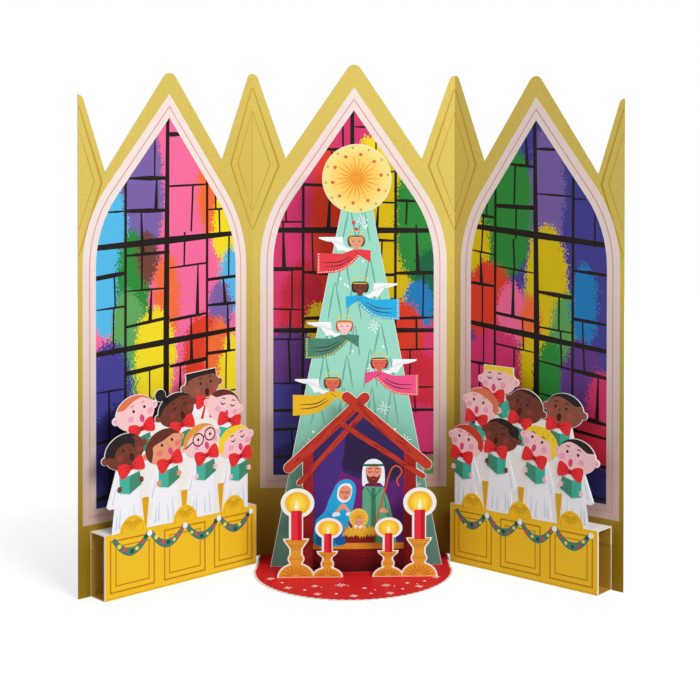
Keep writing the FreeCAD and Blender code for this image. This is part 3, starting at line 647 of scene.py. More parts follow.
def make_window(name, seed):
    """One printed window: the glass, its leading and its pale border with a fine line."""
    window = WINDOWS[name]
    middle = window["middle"]

    def outline(inset):
        """The window's outline, drawn in."""
        return [(x + middle, z) for x, z in gothic(window, inset)]

    glass = Print(f"{name}_window_print", window["place"], "backdrop_card")
    fields = [(colour, x + middle, z, rx, rz) for colour, x, z, rx, rz in window["fields"]]
    glass.fill(outline(GLASS_INSET - 0.5), colour_field(f"{name}_glass", window["base"], fields))
    leading(window, glass, middle, seed)
    # Painted shade: the pale border darkens towards the floor, where the layers in front shade it
    border = fading_ink("border", "border_shaded", "border_high", *PAINTED_SHADE_HEIGHTS)
    glass.fill(outline(0), border, 6, outline(GLASS_INSET))
    glass.fill(outline(LINE_INSET), "border_line", 7, outline(LINE_INSET + LINE_WIDTH))
    return glass.finish()


# Gilded lines on the spires

OUTER_DIAMOND = {"top": 237.7, "middle": 198.5, "bottom": 166.1, "half": 13.4, "width": 1.1}
INNER_DIAMOND = {"top": 225.9, "middle": 199.2, "bottom": 175.3, "half": 9.1, "width": 0.55}
EDGE_OUTER = {"top": 219.9, "middle": 186.1, "bottom": 152.8, "half": 11.8, "width": 1.1}
EDGE_INNER = {"top": 209.5, "middle": 186.2, "bottom": 163.9, "half": 8.1, "width": 0.5}


def half_diamond(sheet, edge, way, diamond):
    """Half of a diamond, from a fold or a free edge into the panel, kept inside the panel's edge."""
    points = [
        (edge, diamond["top"]),
        (edge + way * diamond["half"], diamond["middle"]),
        (edge, diamond["bottom"]),
    ]
    stroke = [(edge + way * max((x - edge) * way, 0.08), z) for x, z in band(points, diamond["width"])]
    sheet.fill(stroke, "gold_line", 1)


def make_gilding():
    """The diamonds on the spires, on each of the three panels."""
    centre = Print("centre_gilding", panel_place(), "backdrop_card")
    for side in (-1, 1):
        for diamond in (OUTER_DIAMOND, INNER_DIAMOND):
            half_diamond(centre, side * CENTRE_WIDTH / 2, -side, diamond)
    centre.finish()
    for side, name in ((-1, "left"), (1, "right")):
        wing = Print(f"{name}_gilding", wing_place(side), "backdrop_card")
        for diamond in (OUTER_DIAMOND, INNER_DIAMOND):
            half_diamond(wing, 0, side, diamond)
        for diamond in (EDGE_OUTER, EDGE_INNER):
            half_diamond(wing, side * WING_WIDTH, -side, diamond)
        wing.line([(side * 0.15, 176), (side * 0.15, 226)], 0.3, "gold_line", 1)
        wing.finish()


# Small ornaments


def snowflake(sheet, x, z, radius, colour="white", level=2, arms=8):
    """A flake of thin arms round an open middle."""
    for arm in range(arms):
        angle = math.pi * 2 * arm / arms + 0.2
        reach = radius if arm % 2 == 0 else radius * 0.75
        start, tip = [rim_point(x, z, angle, away) for away in (radius * 0.16, reach)]
        sheet.bar(start, tip, (0.26, 0.36, 0.48), colour, level)


def dot(sheet, x, z, radius, colour, level=2):
    """A round dot."""
    sheet.fill(oval(x, z, 2 * radius, 2 * radius, steps=20), colour, level)


# Floor

FLOOR_MARGIN = 0.9
FRONT_MARKS = 13
FRONT_TURN = 11.5
FLOOR_FLAKES = ((-6, -26, 2.8), (15, -27, 2.2), (-18, -27, 1.8), (5, -31, 1.2), (25, -24, 1.0))


def make_floor_print():
    """Red ink inside the white scalloped rim, with flakes and dots along the front."""
    count = round(math.pi * FLOOR_RADIUS / SCALLOP_PITCH)
    reach = FLOOR_RADIUS - FLOOR_MARGIN
    points = []
    for step in range(count):
        for share, rise in ((0.0, 0.0), (0.25, 0.75), (0.5, 1.0), (0.75, 0.75)):
            angle = math.pi * (1 + (step + share) / count)
            points.append(rim_point(0, 0, angle, reach + SCALLOP_RISE * rise))
    back = FLOOR_CENTRE - 0.1
    points += [(reach, 0), (reach, back), (-reach, back)]
    floor = Print("floor_print", floor_place(), "floor_card")
    floor.fill(points, "red")
    draw = random.Random(4)
    for number in range(FRONT_MARKS):
        angle = math.radians(-90 + (number - FRONT_MARKS // 2) * FRONT_TURN)
        if number % 2 == 0:
            snowflake(floor, *rim_point(0, 0, angle, 42.0), 2.0, level=1)
        else:
            dot(floor, *rim_point(0, 0, angle, 39.5), 0.7, "white", 1)
    for x, z, radius in FLOOR_FLAKES:
        snowflake(floor, x, z, radius, level=1)
        dot(floor, x + draw.uniform(3, 5), z - draw.uniform(1, 3), 0.4, "white", 1)
    return floor.finish()


# Tree, star and angels

TREE_TOP = 180.0
TREE_TOP_HALF = 6.8
TREE_FOOT_HALF = 42.2
STAR_HEIGHT = 190.6
STAR_RADIUS = 17.0
STAR_STOPS = (
    (0.0, "star_core"), (0.97, "star_edge"), (0.34, "star_mid"), (0.66, "star_warm"), (0.86, "star_edge"),
)
STAR_RAYS = 22
FIR_ROWS = (160, 138, 122, 104, 88, 70)
TREE_DOTS = 26

# White card left between the print and a sheet's cut edge

CUT_MARGIN = 0.24

# A gown from its hem, as shares of its length and height, and a wing as shares of the length and its rise

GOWN_OUTLINE = (
    (0.0, 0.0), (0.0, 0.83), (0.47, 0.8), (0.6, 0.9), (0.73, 1.0), (1.0, 0.93), (0.99, 0.46),
    (0.8, 0.73), (0.66, 0.41), (0.51, 0.17), (0.34, 0.05),
)
WING_OUTLINE = (
    (0.035, 0.99), (0.48, 1.0), (0.49, 0.81), (0.54, 0.71), (0.67, 0.67), (0.56, 0.59), (0.48, 0.64),
    (0.39, 0.62), (0.36, 0.71), (0.31, 0.81), (0.28, 0.86), (0.18, 0.88), (0.04, 0.95),
)
CAP_HALF = ((2.5, 2.9), (3.9, 2.1), (4.3, 0.4), (3.7, -1.8), (2.6, -2.4))
FACE_HALF = ((3.2, 1.6), (3.4, 0), (2.6, -1.8), (1.0, -2.7))
GOWN_LENGTH = 26.5
GOWN_HEIGHT = 12.3
WING_RISE = 18.1


def tree_half(z):
    """Half of the tree's width at a height."""
    return TREE_TOP_HALF + (TREE_FOOT_HALF - TREE_TOP_HALF) * (TREE_TOP - z) / (TREE_TOP - FLOOR_THICKNESS)


def make_tree_print():
    """The tree's pale green, with pencilled firs, flakes and dots."""
    tree = Print("tree_print", layer_place(TREE_DISTANCE, TREE_SHIFT), "tree_card")
    foot = tree_half(0.5) - CUT_MARGIN
    top = TREE_TOP_HALF - CUT_MARGIN
    body = [(-foot, 0.5), (foot, 0.5), (top, TREE_TOP), (-top, TREE_TOP)]
    tree.fill(body, fading_ink("tree_green", "tree_low", "tree_high", 20, 95))
    draw = random.Random(11)
    for row, z in enumerate(FIR_ROWS):
        half = tree_half(z) - 4
        count = 2 + row // 2
        for number in range(count):
            x = -half + (number + 0.5) * 2 * half / count + draw.uniform(-1.5, 1.5)
            height = draw.uniform(13, 19)
            spread = draw.uniform(2.2, 3.4)
            for side in (-1, 1):
                points = []
                for step in range(7):
                    out = 0.2 + spread * step / 6 + 0.12 * (step % 2)
                    points.append((x + side * out, z + height * (1 - step / 6)))
                tree.line(points, (0.3, 0.9, 0.4), "tree_line", 1)
    for z, share, radius in FLAKES:
        snowflake(tree, share * tree_half(z), z, radius)
    for number in range(TREE_DOTS):
        z = draw.uniform(22, 172)
        x = draw.uniform(-0.85, 0.85) * tree_half(z)
        if number % 3:
            dot(tree, x, z, 0.6, "white", 3)
        else:
            dot(tree, x, z, 0.95, "dot_red", 4)
    return tree.finish()


def make_star_print():
    """The star disc: warm light, rays and rings of dots."""
    star = Print("star_print", layer_place(TREE_DISTANCE, TREE_SHIFT), "tree_card")
    light = glowing_ink("star_light", STAR_STOPS, 0, STAR_HEIGHT, STAR_RADIUS)
    radius = STAR_RADIUS - CUT_MARGIN
    star.fill(oval(0, STAR_HEIGHT, 2 * radius, 2 * radius, steps=64), light, 5)

    def around(share, ring):
        """A point on a ring round the disc's centre."""
        return rim_point(0, STAR_HEIGHT, 2 * math.pi * share, ring)

    for number in range(STAR_RAYS):
        ends = [around(number / STAR_RAYS, reach) for reach in (2.0, (11.0, 8.8, 10.2)[number % 3])]
        star.bar(*ends, (0.5, 0.42, 0.2), "star_ray", 6)
    for count, ring, size, colour in ((10, 12.0, 0.85, "star_dot"), (12, 15.3, 0.6, "ochre")):
        for number in range(count):
            x, z = around((number + 0.25) / count, ring)
            dot(star, x, z, size, colour, 7)
    dot(star, 0, STAR_HEIGHT, 2.1, "star_heart", 8)
    return star.finish()


# Angels from the top: gown, stitches, skin, hair, the hem's height, and how far it reaches past the tree

ANGELS = (
    ("angel_red", "trim_light", "tan", "brown_hair", 144.0, 6.9),
    ("angel_blue", "trim_light", "deep", "black_hair", 121.4, 3.9),
    ("angel_green", "trim_yellow", "fair", "red_hair", 102.3, 4.4),
    ("angel_pink", "trim_yellow", "rosy", "dark_red_hair", 84.0, 5.9),
    ("angel_yellow", None, "rosy", "brown_hair", 74.4, 4.8),
)

# Stitches: start and end, as a share along and millimetres up, and how many

STITCHES = (
    ((0.08, 0.7), (0.34, 1.2), 6), ((0.37, 1.4), (0.5, 2.7), 4), ((0.53, 3.2), (0.64, 5.5), 4),
    ((0.66, 6.2), (0.77, 9.0), 4),
)

# Flakes on the tree: height, share of the half width, and radius

FLAKES = (
    (170, 0.3, 3.0), (118, 0.45, 3.2), (98, 0.35, 3.2), (78, 0.5, 3.4), (62, 0.8, 3.2),
    (60, -0.75, 3.4), (40, 0.85, 2.6), (36, -0.86, 2.6),
)


def make_angel_print(number):
    """One flying angel: wing, gown with a stitched hem, head and halo."""
    gown, trim, skin, hair, base, overhang = ANGELS[number]
    side = -1 if number % 2 == 0 else 1
    hem = side * (tree_half(base + GOWN_HEIGHT / 2) + overhang)
    angel = Print(f"angel_print_{number + 1}", layer_place(TREE_DISTANCE, TREE_SHIFT), "tree_card")

    def spot(inward, up):
        """A point at a share of the gown's length from the hem, and millimetres above the hem's base."""
        return (hem - side * inward * GOWN_LENGTH, base + up)

    angel.fill([spot(u, v * WING_RISE) for u, v in WING_OUTLINE], "white", 5)
    for step in range(4):
        start = spot(0.16 + 0.1 * step, WING_RISE * (0.93 - 0.05 * step))
        end = spot(0.42 + 0.07 * step, WING_RISE * (0.86 - 0.05 * step))
        angel.bar(start, end, (0.1, 0.3, 0.1), "robe_fold", 6)
    angel.fill([spot(u, v * GOWN_HEIGHT) for u, v in GOWN_OUTLINE], gown, 8)
    for points in (((0.12, 5.4), (0.42, 5.9), (0.62, 8.6)), ((0.14, 3.3), (0.42, 4.2), (0.66, 7.6))):
        angel.line(smooth([spot(u, v) for u, v in points], False), (0.25, 0.55, 0.25), "angel_line", 9)
    angel.line([spot(0.7, 11.0), spot(0.8, 9.2)], (0.25, 0.5, 0.3), "angel_line", 9)
    if trim:
        for step in range(9):
            angel.fill(oval(*spot(0.035, 0.8 + step * 1.1), 0.75, 0.6, steps=10), trim, 10)
        for start, end, count in STITCHES:
            for step in range(count):
                share = step / (count - 1)
                u = start[0] + (end[0] - start[0]) * share
                v = start[1] + (end[1] - start[1]) * share
                angel.fill(oval(*spot(u, v), 0.75, 0.6, steps=10), trim, 11)
    x, z = spot(0.73, 15.8)
    angel.fill([(x - 1.2, base + 11.8), (x + 1.2, base + 11.8), (x + 1.1, z), (x - 1.1, z)], skin, 9)
    angel.fill(oval(x, z + 3.7, 7.2, 3.4), "halo", 7, oval(x, z + 3.7, 6.3, 2.6))
    for half, colour, level in ((CAP_HALF, hair, 10), (FACE_HALF, skin, 11)):
        angel.fill(smooth([(x + u, z + v) for u, v in mirrored(half)], steps=3), colour, level)
    angel.line([(x - 3.4, z + 2.1), (x + 3.4, z + 2.1)], 0.45, "halo", 12)
    for way in (-1, 1):
        eye = [(x + way * 1.4 + u, z + v) for u, v in ((-0.6, 0.4), (0, 0), (0.6, 0.4))]
        angel.line(eye, 0.28, "line", 12)
    angel.line([(x - 0.5, z - 1.4), (x, z - 1.65), (x + 0.5, z - 1.4)], 0.25, "mouth", 12)
    return angel.finish()


# Stable and family

WALLS = (-26.7, 28.3)
RIDGE = (-0.7, 81.0)
EAVES = ((-33.3, 50.9), (33.3, 52.2))
LOG_WIDTH = 5.2
LOG_OVERRUNS = (5.4, 6.2)
RAFTER_WIDTH = 3.0
RAFTERS = (((-28.2, 43.6), (2.9, 77.6)), ((31.4, 46.6), (-10.5, 73.6)))
POSTS = ((-26.4, -21.6), (22.1, 28.0))
STRIP_LOW = 11.6
STRIP_HIGH = 14.5
INSIDE_WALLS = (
    ("indigo_wall", ((-24, STRIP_LOW), (-24, 46), (-6, 72), (-7, 50), (-14, 34), (-22, 20))),
    ("plum_wall", (
        (-22, 20), (-14, 36), (-8, 49), (1, 45), (22, 40), (24, 34), (24, STRIP_LOW), (-22, STRIP_LOW),
    )),
    ("violet_wall", ((9, STRIP_LOW), (24, STRIP_LOW), (24, 48), (14, 43))),
    ("night_deep", ((-4, 72), (19, 55), (21, 47), (6, 47), (-8, 51))),
)


def round_log(start, end, width):
    """The outline of a bar with round ends."""
    angle = math.atan2(end[1] - start[1], end[0] - start[0])
    steps = 8
    return [
        rim_point(*centre, angle + first + math.pi * step / steps, width / 2)
        for centre, first in ((end, -math.pi / 2), (start, math.pi / 2))
        for step in range(steps + 1)
    ]


def wood_log(sheet, start, end, width, level, seed):
    """A log with grain lines along it."""
    draw = random.Random(seed)
    sheet.fill(round_log(start, end, width - 2 * CUT_MARGIN), "wood", level)
    run = Vector((end[0] - start[0], end[1] - start[1]))
    length = run.length
    run.normalize()
    side = Vector((-run.y, run.x))
    for number in range(max(6, round(length / 3.2))):
        along = draw.uniform(0, length * 0.82)
        reach = draw.uniform(4, 9)
        out = (number % 5 - 2) * 0.17 * width
        first = Vector(start) + run * along + side * out
        last = Vector(start) + run * min(along + reach, length) + side * (out + draw.uniform(-0.3, 0.3))
        sheet.bar(first, last, (0.14, 0.36, 0.12), "wood_line", level + 1 + number % 2)


def make_stable_print():
    """The stable's walls, riser, posts and roof logs."""
    stable = Print("stable_print", layer_place(STABLE_DISTANCE, STABLE_SHIFT), "stable_card")
    left, right = WALLS[0] + CUT_MARGIN, WALLS[1] - CUT_MARGIN
    slopes = [(RIDGE[1] - eave[1]) / abs(eave[0] - RIDGE[0]) for eave in EAVES]
    tops = [RIDGE[1] - slope * abs(wall - RIDGE[0]) for slope, wall in zip(slopes, WALLS)]
    walls = [(left, 0.5), (right, 0.5), (right, tops[1]), (RIDGE[0], RIDGE[1] - 3), (left, tops[0])]
    stable.fill(walls, "night")
    for level, (colour, points) in enumerate(INSIDE_WALLS, 1):
        stable.fill(list(points), colour, level)
    riser = rectangle(left + 1.2, right - 1.2, 0.5, STRIP_LOW)
    # Painted shade: the riser darkens towards its foot
    stable.fill(riser, fading_ink("riser_wood", "riser_shaded", "riser_high", 1, 10), 5)
    for number in range(7):
        z = 1.6 + number * 1.45
        points = [(-24 + step * 6, z + 0.3 * math.sin(step * 1.7 + number)) for step in range(9)]
        stable.line(points, (0.15, 0.3, 0.15), "riser_line", 6)
    stable.fill(rectangle(POSTS[0][0] + 2, POSTS[1][1] - 2, STRIP_LOW, STRIP_HIGH), "strip", 6)
    for number in range(9):
        x = -20 + number * 5
        stable.bar((x, 12.8 + 0.5 * (number % 2)), (x + 3, 12.9), (0.1, 0.25, 0.1), "straw_dark", 7)
    for order, (low_x, high_x) in enumerate(POSTS):
        low_top, high_top = [RIDGE[1] - slopes[order] * abs(x - RIDGE[0]) for x in (low_x, high_x)]
        top = min(low_top, high_top) - 2
        stable.fill([(low_x, 3), (high_x, 3), (high_x, high_top), (low_x, low_top)], "post", 8)
        for number in range(6):
            x = low_x + 0.7 + number * 0.85
            stable.bar((x, 8 + number * 3), (x + 0.2, 30 + number * 4), (0.15, 0.38, 0.1), "wood_line", 9)
            stable.bar((x + 0.3, 36 + number * 2), (x, top - 1), (0.1, 0.34, 0.1), "wood_line", 10)
    for order, (low, high) in enumerate(RAFTERS):
        wood_log(stable, low, high, RAFTER_WIDTH, 11 + 3 * order, 20 + order)
    for order, (over, slope) in enumerate(zip(LOG_OVERRUNS, slopes)):
        way = 1 - 2 * order
        past = over / math.hypot(1, slope)
        high = (RIDGE[0] + way * past, RIDGE[1] + past * slope)
        wood_log(stable, EAVES[order], high, LOG_WIDTH, 17 + 3 * order, 30 + order)
    return stable.finish()


def make_family_print():
    """Mother, father and child in a manger, in plain shapes."""
    family = Print("family_print", layer_place(STABLE_DISTANCE), "stable_card")

    def shape(points, colour, level, rounded=4):
        """A shape with rounded corners."""
        family.fill(smooth(points, steps=rounded) if rounded else points, colour, level)

    cloak = [(-18.4, 13.7), (-18.4, 24.2), (-16.8, 27), (-13.8, 30.1), (-11.6, 36), (-8.4, 42.6)]
    cloak += [(-5.7, 44.8), (-2.2, 45.1), (0.4, 43.2), (1.1, 40), (0.3, 34.5), (-0.6, 30.5)]
    shape(cloak + [(-1.6, 26.6), (-2.6, 24.2), (-3.4, 14.3)], "cloak", 11)
    shape([(-17.6, 14.2), (-16, 24), (-11.5, 21), (-8.6, 14.2)], "cloak_dark", 12)
    shape([(-8.6, 14.2), (-8.0, 20), (-4.6, 18), (-3.8, 14.2)], "cloak_deep", 13)
    family.line([(-13.0, 30), (-10.4, 26.4), (-7.4, 25.0)], (0.3, 0.7, 0.3), "cloak_dark", 14)
    veil = [(-7.8, 36), (-7.4, 41.2), (-4.8, 43.2), (-1.6, 42.8), (-0.7, 39.6), (-2.0, 35.4), (-5.0, 34.0)]
    shape(veil, "veil", 12)
    face = [(-7.0, 37), (-6.4, 41.0), (-3.4, 42.2), (-1.1, 40.2), (-2.2, 36.4), (-4.4, 35.0)]
    shape(face, "rosy_tan", 13)
    for x in (-5.4, -3.0):
        family.line([(x - 0.9, 39.4), (x, 38.9), (x + 0.8, 39.1)], 0.34, "line", 14)
    family.line([(-4.0, 39.4), (-3.5, 38.0), (-4.1, 37.8)], 0.3, "brown_blush", 14)
    family.line([(-4.7, 36.7), (-3.9, 36.4), (-3.1, 36.6)], 0.4, "bow_dark", 14)
    hands = [(-9.0, 28.4), (-8.2, 30.6), (-5.2, 33.6), (-2.2, 30.8), (-1.6, 28.2), (-3.4, 30), (-5.2, 31)]
    shape(hands, "tan", 14)
    shape([(-10.2, 27.4), (-9.6, 29.2), (-7.2, 29.4), (-6.6, 27.8)], "veil", 15)
    shape([(-3.4, 27.8), (-3.4, 29.2), (-1.4, 29.2), (-0.8, 27.6)], "veil", 15)
    robe = [(5.2, 41.8), (4.2, 39.4), (4.2, 14.5), (20.6, 14.5), (19, 26), (16.6, 35.4), (14.3, 41.4)]
    shape(robe, "green_robe", 11, 0)
    shape([(8.3, 14.5), (8.4, 36), (8.6, 41), (10.4, 41), (10.7, 30), (10.7, 14.5)], "green_dark", 12, 0)
    family.line([(6.4, 41.2), (9.4, 35.6), (13.4, 41.0)], (0.4, 0.6, 0.4), "green_line", 13)
    family.line([(14.6, 38), (15.8, 30), (19.4, 20)], (0.2, 0.5, 0.2), "green_line", 13)
    cloth = [(4.3, 42), (4.2, 50), (6, 53.8), (9.5, 55), (13, 53.8), (14.8, 50), (14.7, 42)]
    shape(cloth + [(12.4, 43.4), (6.8, 43.4)], "veil", 14)
    face = [(6.2, 51), (12.9, 51), (13.0, 47), (11.4, 43.6), (9.4, 42.8), (7.6, 43.6), (6.0, 47)]
    shape(face, "rosy_tan", 15)
    beard = [(6.1, 47.4), (6.8, 44.2), (9.1, 42.0), (11.6, 44.2), (12.9, 47.4), (11.2, 46.2)]
    shape(beard + [(9.4, 46.8), (7.8, 46.2)], "beard", 16)
    family.bar((4.4, 52.0), (14.6, 52.0), (1.0, 1.2, 1.0), "green_line", 16)
    for x in (7.8, 11.2):
        family.line([(x - 1.0, 48.9), (x, 48.5), (x + 1.0, 48.9)], 0.36, "line", 16)
        family.line([(x - 1.1, 50.1), (x, 50.4), (x + 1.1, 50.1)], (0.2, 0.5, 0.2), "beard", 17)
    family.line([(9.6, 49.0), (10.0, 47.6), (9.4, 47.4)], 0.24, "brown_blush", 16)
    family.line([(8.7, 45.2), (9.5, 45.0), (10.3, 45.2)], 0.34, "bow", 17)
    crook = [(10.7, 24), (13.2, 33), (15.6, 42), (17.8, 49.3), (20.2, 51.6), (22.6, 50.4), (23, 48)]
    family.line(smooth(crook + [(20.8, 44.8), (21.8, 41.8)], False, 4), 0.8, "crook", 18)
    shape([(12.2, 29.6), (13.4, 31.2), (15.6, 30.8), (16.6, 29.2), (14.4, 29.0)], "tan", 19)
    shape([(-4.4, 20), (-4.0, 14.6), (9.8, 14.6), (10.8, 20)], "manger", 20, 0)
    for number in range(4):
        x = -3.0 + number * 3.8
        family.line([(x, 19.4), (x + 0.5, 15.4)], (0.1, 0.4, 0.1), "riser_line", 21)
    middle = (2.4, 26.5)
    radius = 4.6
    stops = ((0.0, "straw_dark"), (1.0, "halo"), (0.55, "straw"))
    halo = glowing_ink("child_light", stops, *middle, radius)
    family.fill(oval(*middle, 2 * radius, 2 * radius), halo, 20)
    for number in range(14):
        ends = [rim_point(*middle, 2 * math.pi * number / 14, reach) for reach in (2.6, 4.0)]
        family.bar(*ends, (0.2, 0.3, 0.2), "straw_dark", 21)
    shape([(-1.6, 20.4), (0, 22.6), (2.4, 23.4), (5.0, 22.4), (6.4, 20.4), (2.4, 19.6)], "white", 22)
    family.fill(oval(2.4, 24.6, 4.2, 4.0), "tan", 23)
    for x in (1.5, 3.3):
        family.line([(x - 0.5, 24.7), (x, 24.4), (x + 0.5, 24.7)], 0.22, "line", 24)
    straws = random.Random(8)
    for number in range(24):
        x = -3.4 + number * 0.58
        lean = (number - 12) * 0.12 + straws.uniform(-0.9, 0.9)
        tip = (x + lean, 22.6 + straws.uniform(-0.8, 0.9))
        colour = "straw" if number % 3 else "straw_dark"
        family.bar((x, 19.6), tip, (1.2, 1.0, 0.1), colour, 25 + number % 3)
        drop = (x + lean * 1.2, 16.9 + abs(number - 12) * 0.1 + straws.uniform(-0.6, 0.8))
        family.bar((x, 20.0), drop, (1.3, 1.1, 0.1), "straw", 28 + number % 3)
    return family.finish()


# Candles: place beside the layer's middle, height of the flame's light, height of the white round it,
# size of the light, width of the candle, then the dish, neck, knob and foot of its holder

CANDLES = {
    "tall": {
        "offset": 29.2, "flame": 35.7, "glow": 14.1, "light": (12.4, 10.8), "candle": 6.7,
        "dish": (12.5, 18.9), "neck": 6.4, "knob": (8.0, 9.3), "foot": (17.8, 7.0),
    },
    "short": {
        "offset": 14.4, "flame": 23.6, "glow": 10.0, "light": (10.4, 7.6), "candle": 5.2,
        "dish": (10.3, 12.9), "neck": 5.0, "knob": (6.4, 6.8), "foot": (14.9, 5.0),
    },
}
CANDLE_BORDER = 0.8
DISH_RIM = 1.4
DISH_TAPER = 0.6


def draw_candle(sheet, x, shape, glow_shift):
    """A candle in its holder, inside the white border that the cut leaves."""
    edge = CANDLE_BORDER
    flame = shape["flame"]
    glow_height = shape["glow"]
    dish_width, dish_height = shape["dish"]
    knob_width, knob_height = shape["knob"]
    foot_width, foot_height = shape["foot"]
    rim = dish_height - DISH_RIM
    half_dish = dish_width / 2 - edge
    half_neck = shape["neck"] / 2 - edge
    half_foot = foot_width / 2 - edge
    neck_height = (knob_height + dish_height) / 2
    base = FLOOR_THICKNESS + 0.2
    bell_rise = foot_height - edge
    bell = [rim_point(x, base, math.pi * n / 20, half_foot, bell_rise) for n in range(21)]
    sheet.fill(bell, "holder", 1)
    sheet.fill(rectangle(x - half_neck, x + half_neck, foot_height - 2, neck_height + 1), "holder", 2)
    knob = knob_width - 1.6 * edge
    sheet.fill(oval(x, knob_height, knob, knob * 0.8), "holder", 3)
    bowl = ((half_dish, dish_height - edge * 0.4), (half_dish - DISH_TAPER, rim), (half_neck, neck_height))
    sheet.fill([(x + across, z) for across, z in mirrored(bowl)], "holder", 4)
    for number in range(9):
        ends = [
            rim_point(x, base + 0.3, math.radians(10 + 20 * number), share * half_foot, share * bell_rise)
            for share in (0.22, 0.86)
        ]
        sheet.bar(*ends, (0.2, 0.5, 0.2), "holder_line", 5)
    for number in range(5):
        away = (number - 2) * half_dish * 0.34
        ends = ((x + away * 0.4, neck_height + 0.5), (x + away, rim - 0.4))
        sheet.bar(*ends, (0.25, 0.45, 0.15), "holder_line", 5)
    for reach, z in ((half_dish - 0.4, rim), (knob / 2 - 0.2, knob_height), (half_neck, neck_height - 0.2)):
        sheet.line([(x - reach, z), (x + reach, z)], (0.2, 0.4, 0.2), "holder_line", 6)
    half_candle = shape["candle"] / 2 - edge
    foot = dish_height - 0.8
    top = flame - 0.25 * glow_height
    middle = x + 0.25
    glow_x = x + glow_shift
    light_width, light_height = shape["light"]
    stops = ((0.0, "glow_core"), (1.0, "glow_edge"), (0.55, "glow_mid"), (0.84, "glow_warm"))
    light = glowing_ink(f"glow_{x:.0f}".replace("-", "m"), stops, glow_x, flame, light_width / 2)
    sheet.fill(oval(glow_x, flame, light_width, light_height), light, 1)
    sheet.fill(rectangle(middle - half_candle, middle + half_candle, foot, top), "candle_light", 5)
    sheet.fill(rectangle(middle + half_candle * 0.2, middle + half_candle, foot, top), "candle_dark", 6)
    tall = glow_height * 0.36
    tear = [(0, 1), (-0.1, 0.66), (-0.2, 0.3), (0, 0.02), (0.2, 0.3), (0.1, 0.66)]
    sheet.fill(smooth([(middle + u * tall, top + v * tall) for u, v in tear], steps=3), "flame", 7)


def make_candle_prints():
    """Both pairs of candles."""
    for side, name, glow_shift in ((-1, "left", 0.7), (1, "right", 0.35)):
        pair = Print(f"{name}_candle_print", layer_place(CANDLE_DISTANCE, CANDLE_SHIFT), "candle_card")
        for shape in CANDLES.values():
            draw_candle(pair, side * shape["offset"], shape, glow_shift)
        pair.finish()


# Pews, with a garland in swags

DOME_WIDTH = 13.6
DOME_RISE = 7.2
DOMES = 3
GARLAND_HIGH = 27.0
GARLAND_DIP = 6.9
GARLAND_SWAGS = 4

# The lines of a pew's panels: how far in, and how wide

PANEL_LINES = ((2.4, 0.8), (5.2, 0.6))


def make_pew_print(side, name):
    """A pew's front: gold panels with double lines, and fan-shaped domes."""
    pew = Print(f"{name}_pew_print", wing_place(side, PEW_DEPTH), "pew_card")
    low, high = sorted((side * PEW_START, side * (PEW_START + PEW_LENGTH)))
    pew.fill(rectangle(low + 0.2, high - 0.2, 0.2, PEW_HEIGHT), "pew", 1)
    third = PEW_LENGTH / DOMES
    half = DOME_WIDTH / 2
    for number in range(DOMES):
        x = side * (PEW_START + third * (number + 0.5))

        def arch(inset, steps):
            """Points along a dome's edge, drawn in."""
            sizes = (half - inset, DOME_RISE + 0.4 - inset)
            return [rim_point(x, PEW_HEIGHT - 0.5, math.pi * n / steps, *sizes) for n in range(steps + 1)]

        pew.fill(arch(0.1, 24), "pew", 17)
        pew.line(arch(1.2, 16), 0.35, "pew_trim_and_shade", 18)
        for ray in range(9):
            angle = math.radians(-90 + (ray - 4) * 17)
            ends = [rim_point(x, PEW_HEIGHT + DOME_RISE - 1.8, angle, reach) for reach in (1.2, 5.4)]
            pew.bar(*ends, (0.2, 0.5, 0.15), "pew_line", 18)
        for inset, width in PANEL_LINES:
            outer, inner = [
                rectangle(x - third / 2 + away, x + third / 2 - away, 0.6 + away, PEW_HEIGHT - 0.2 - away)
                for away in (inset, inset + width)
            ]
            pew.fill(outer, "pew_line", 2, inner)
    pew.line([(low + 0.5, 0.9), (high - 0.5, 0.9)], 0.4, "pew_trim_and_shade", 3)
    return pew.finish()


def make_garland(side, name):
    """A fir garland in four swags, with round baubles."""
    garland = Print(f"{name}_garland_print", wing_place(side, PEW_DEPTH), "pew_card")
    start = PEW_START + 3.4
    reach = (PEW_LENGTH - 7.0) / GARLAND_SWAGS
    draw = random.Random(3 + side)
    baubles = ("dot_red", "trim_yellow", "pine", "dot_red", "trim_yellow")
    for swag in range(GARLAND_SWAGS):
        points = []
        for step in range(13):
            share = step / 12
            x = side * (start + reach * (swag + share * 0.94 + 0.03))
            points.append((x, GARLAND_HIGH - GARLAND_DIP * (1 - (2 * share - 1) ** 2)))
        garland.line(points, (2.0, 4.0, 2.0), "garland", 4)
        for number, colour in enumerate(baubles):
            x, z = points[2 + number * 2]
            place = (x + draw.uniform(-0.5, 0.5), z + draw.uniform(-0.9, 0.9))
            dot(garland, *place, draw.uniform(0.75, 1.05), colour, 5)
        knot = side * (start + reach * (swag + (side > 0)))
        dot(garland, knot, GARLAND_HIGH - 0.4, 1.35, "white", 7)
        dot(garland, knot - 2.1, GARLAND_HIGH - 1.6, 0.95, "dot_red" if swag == 2 else "pine", 6)
    return garland.finish()


# Singers

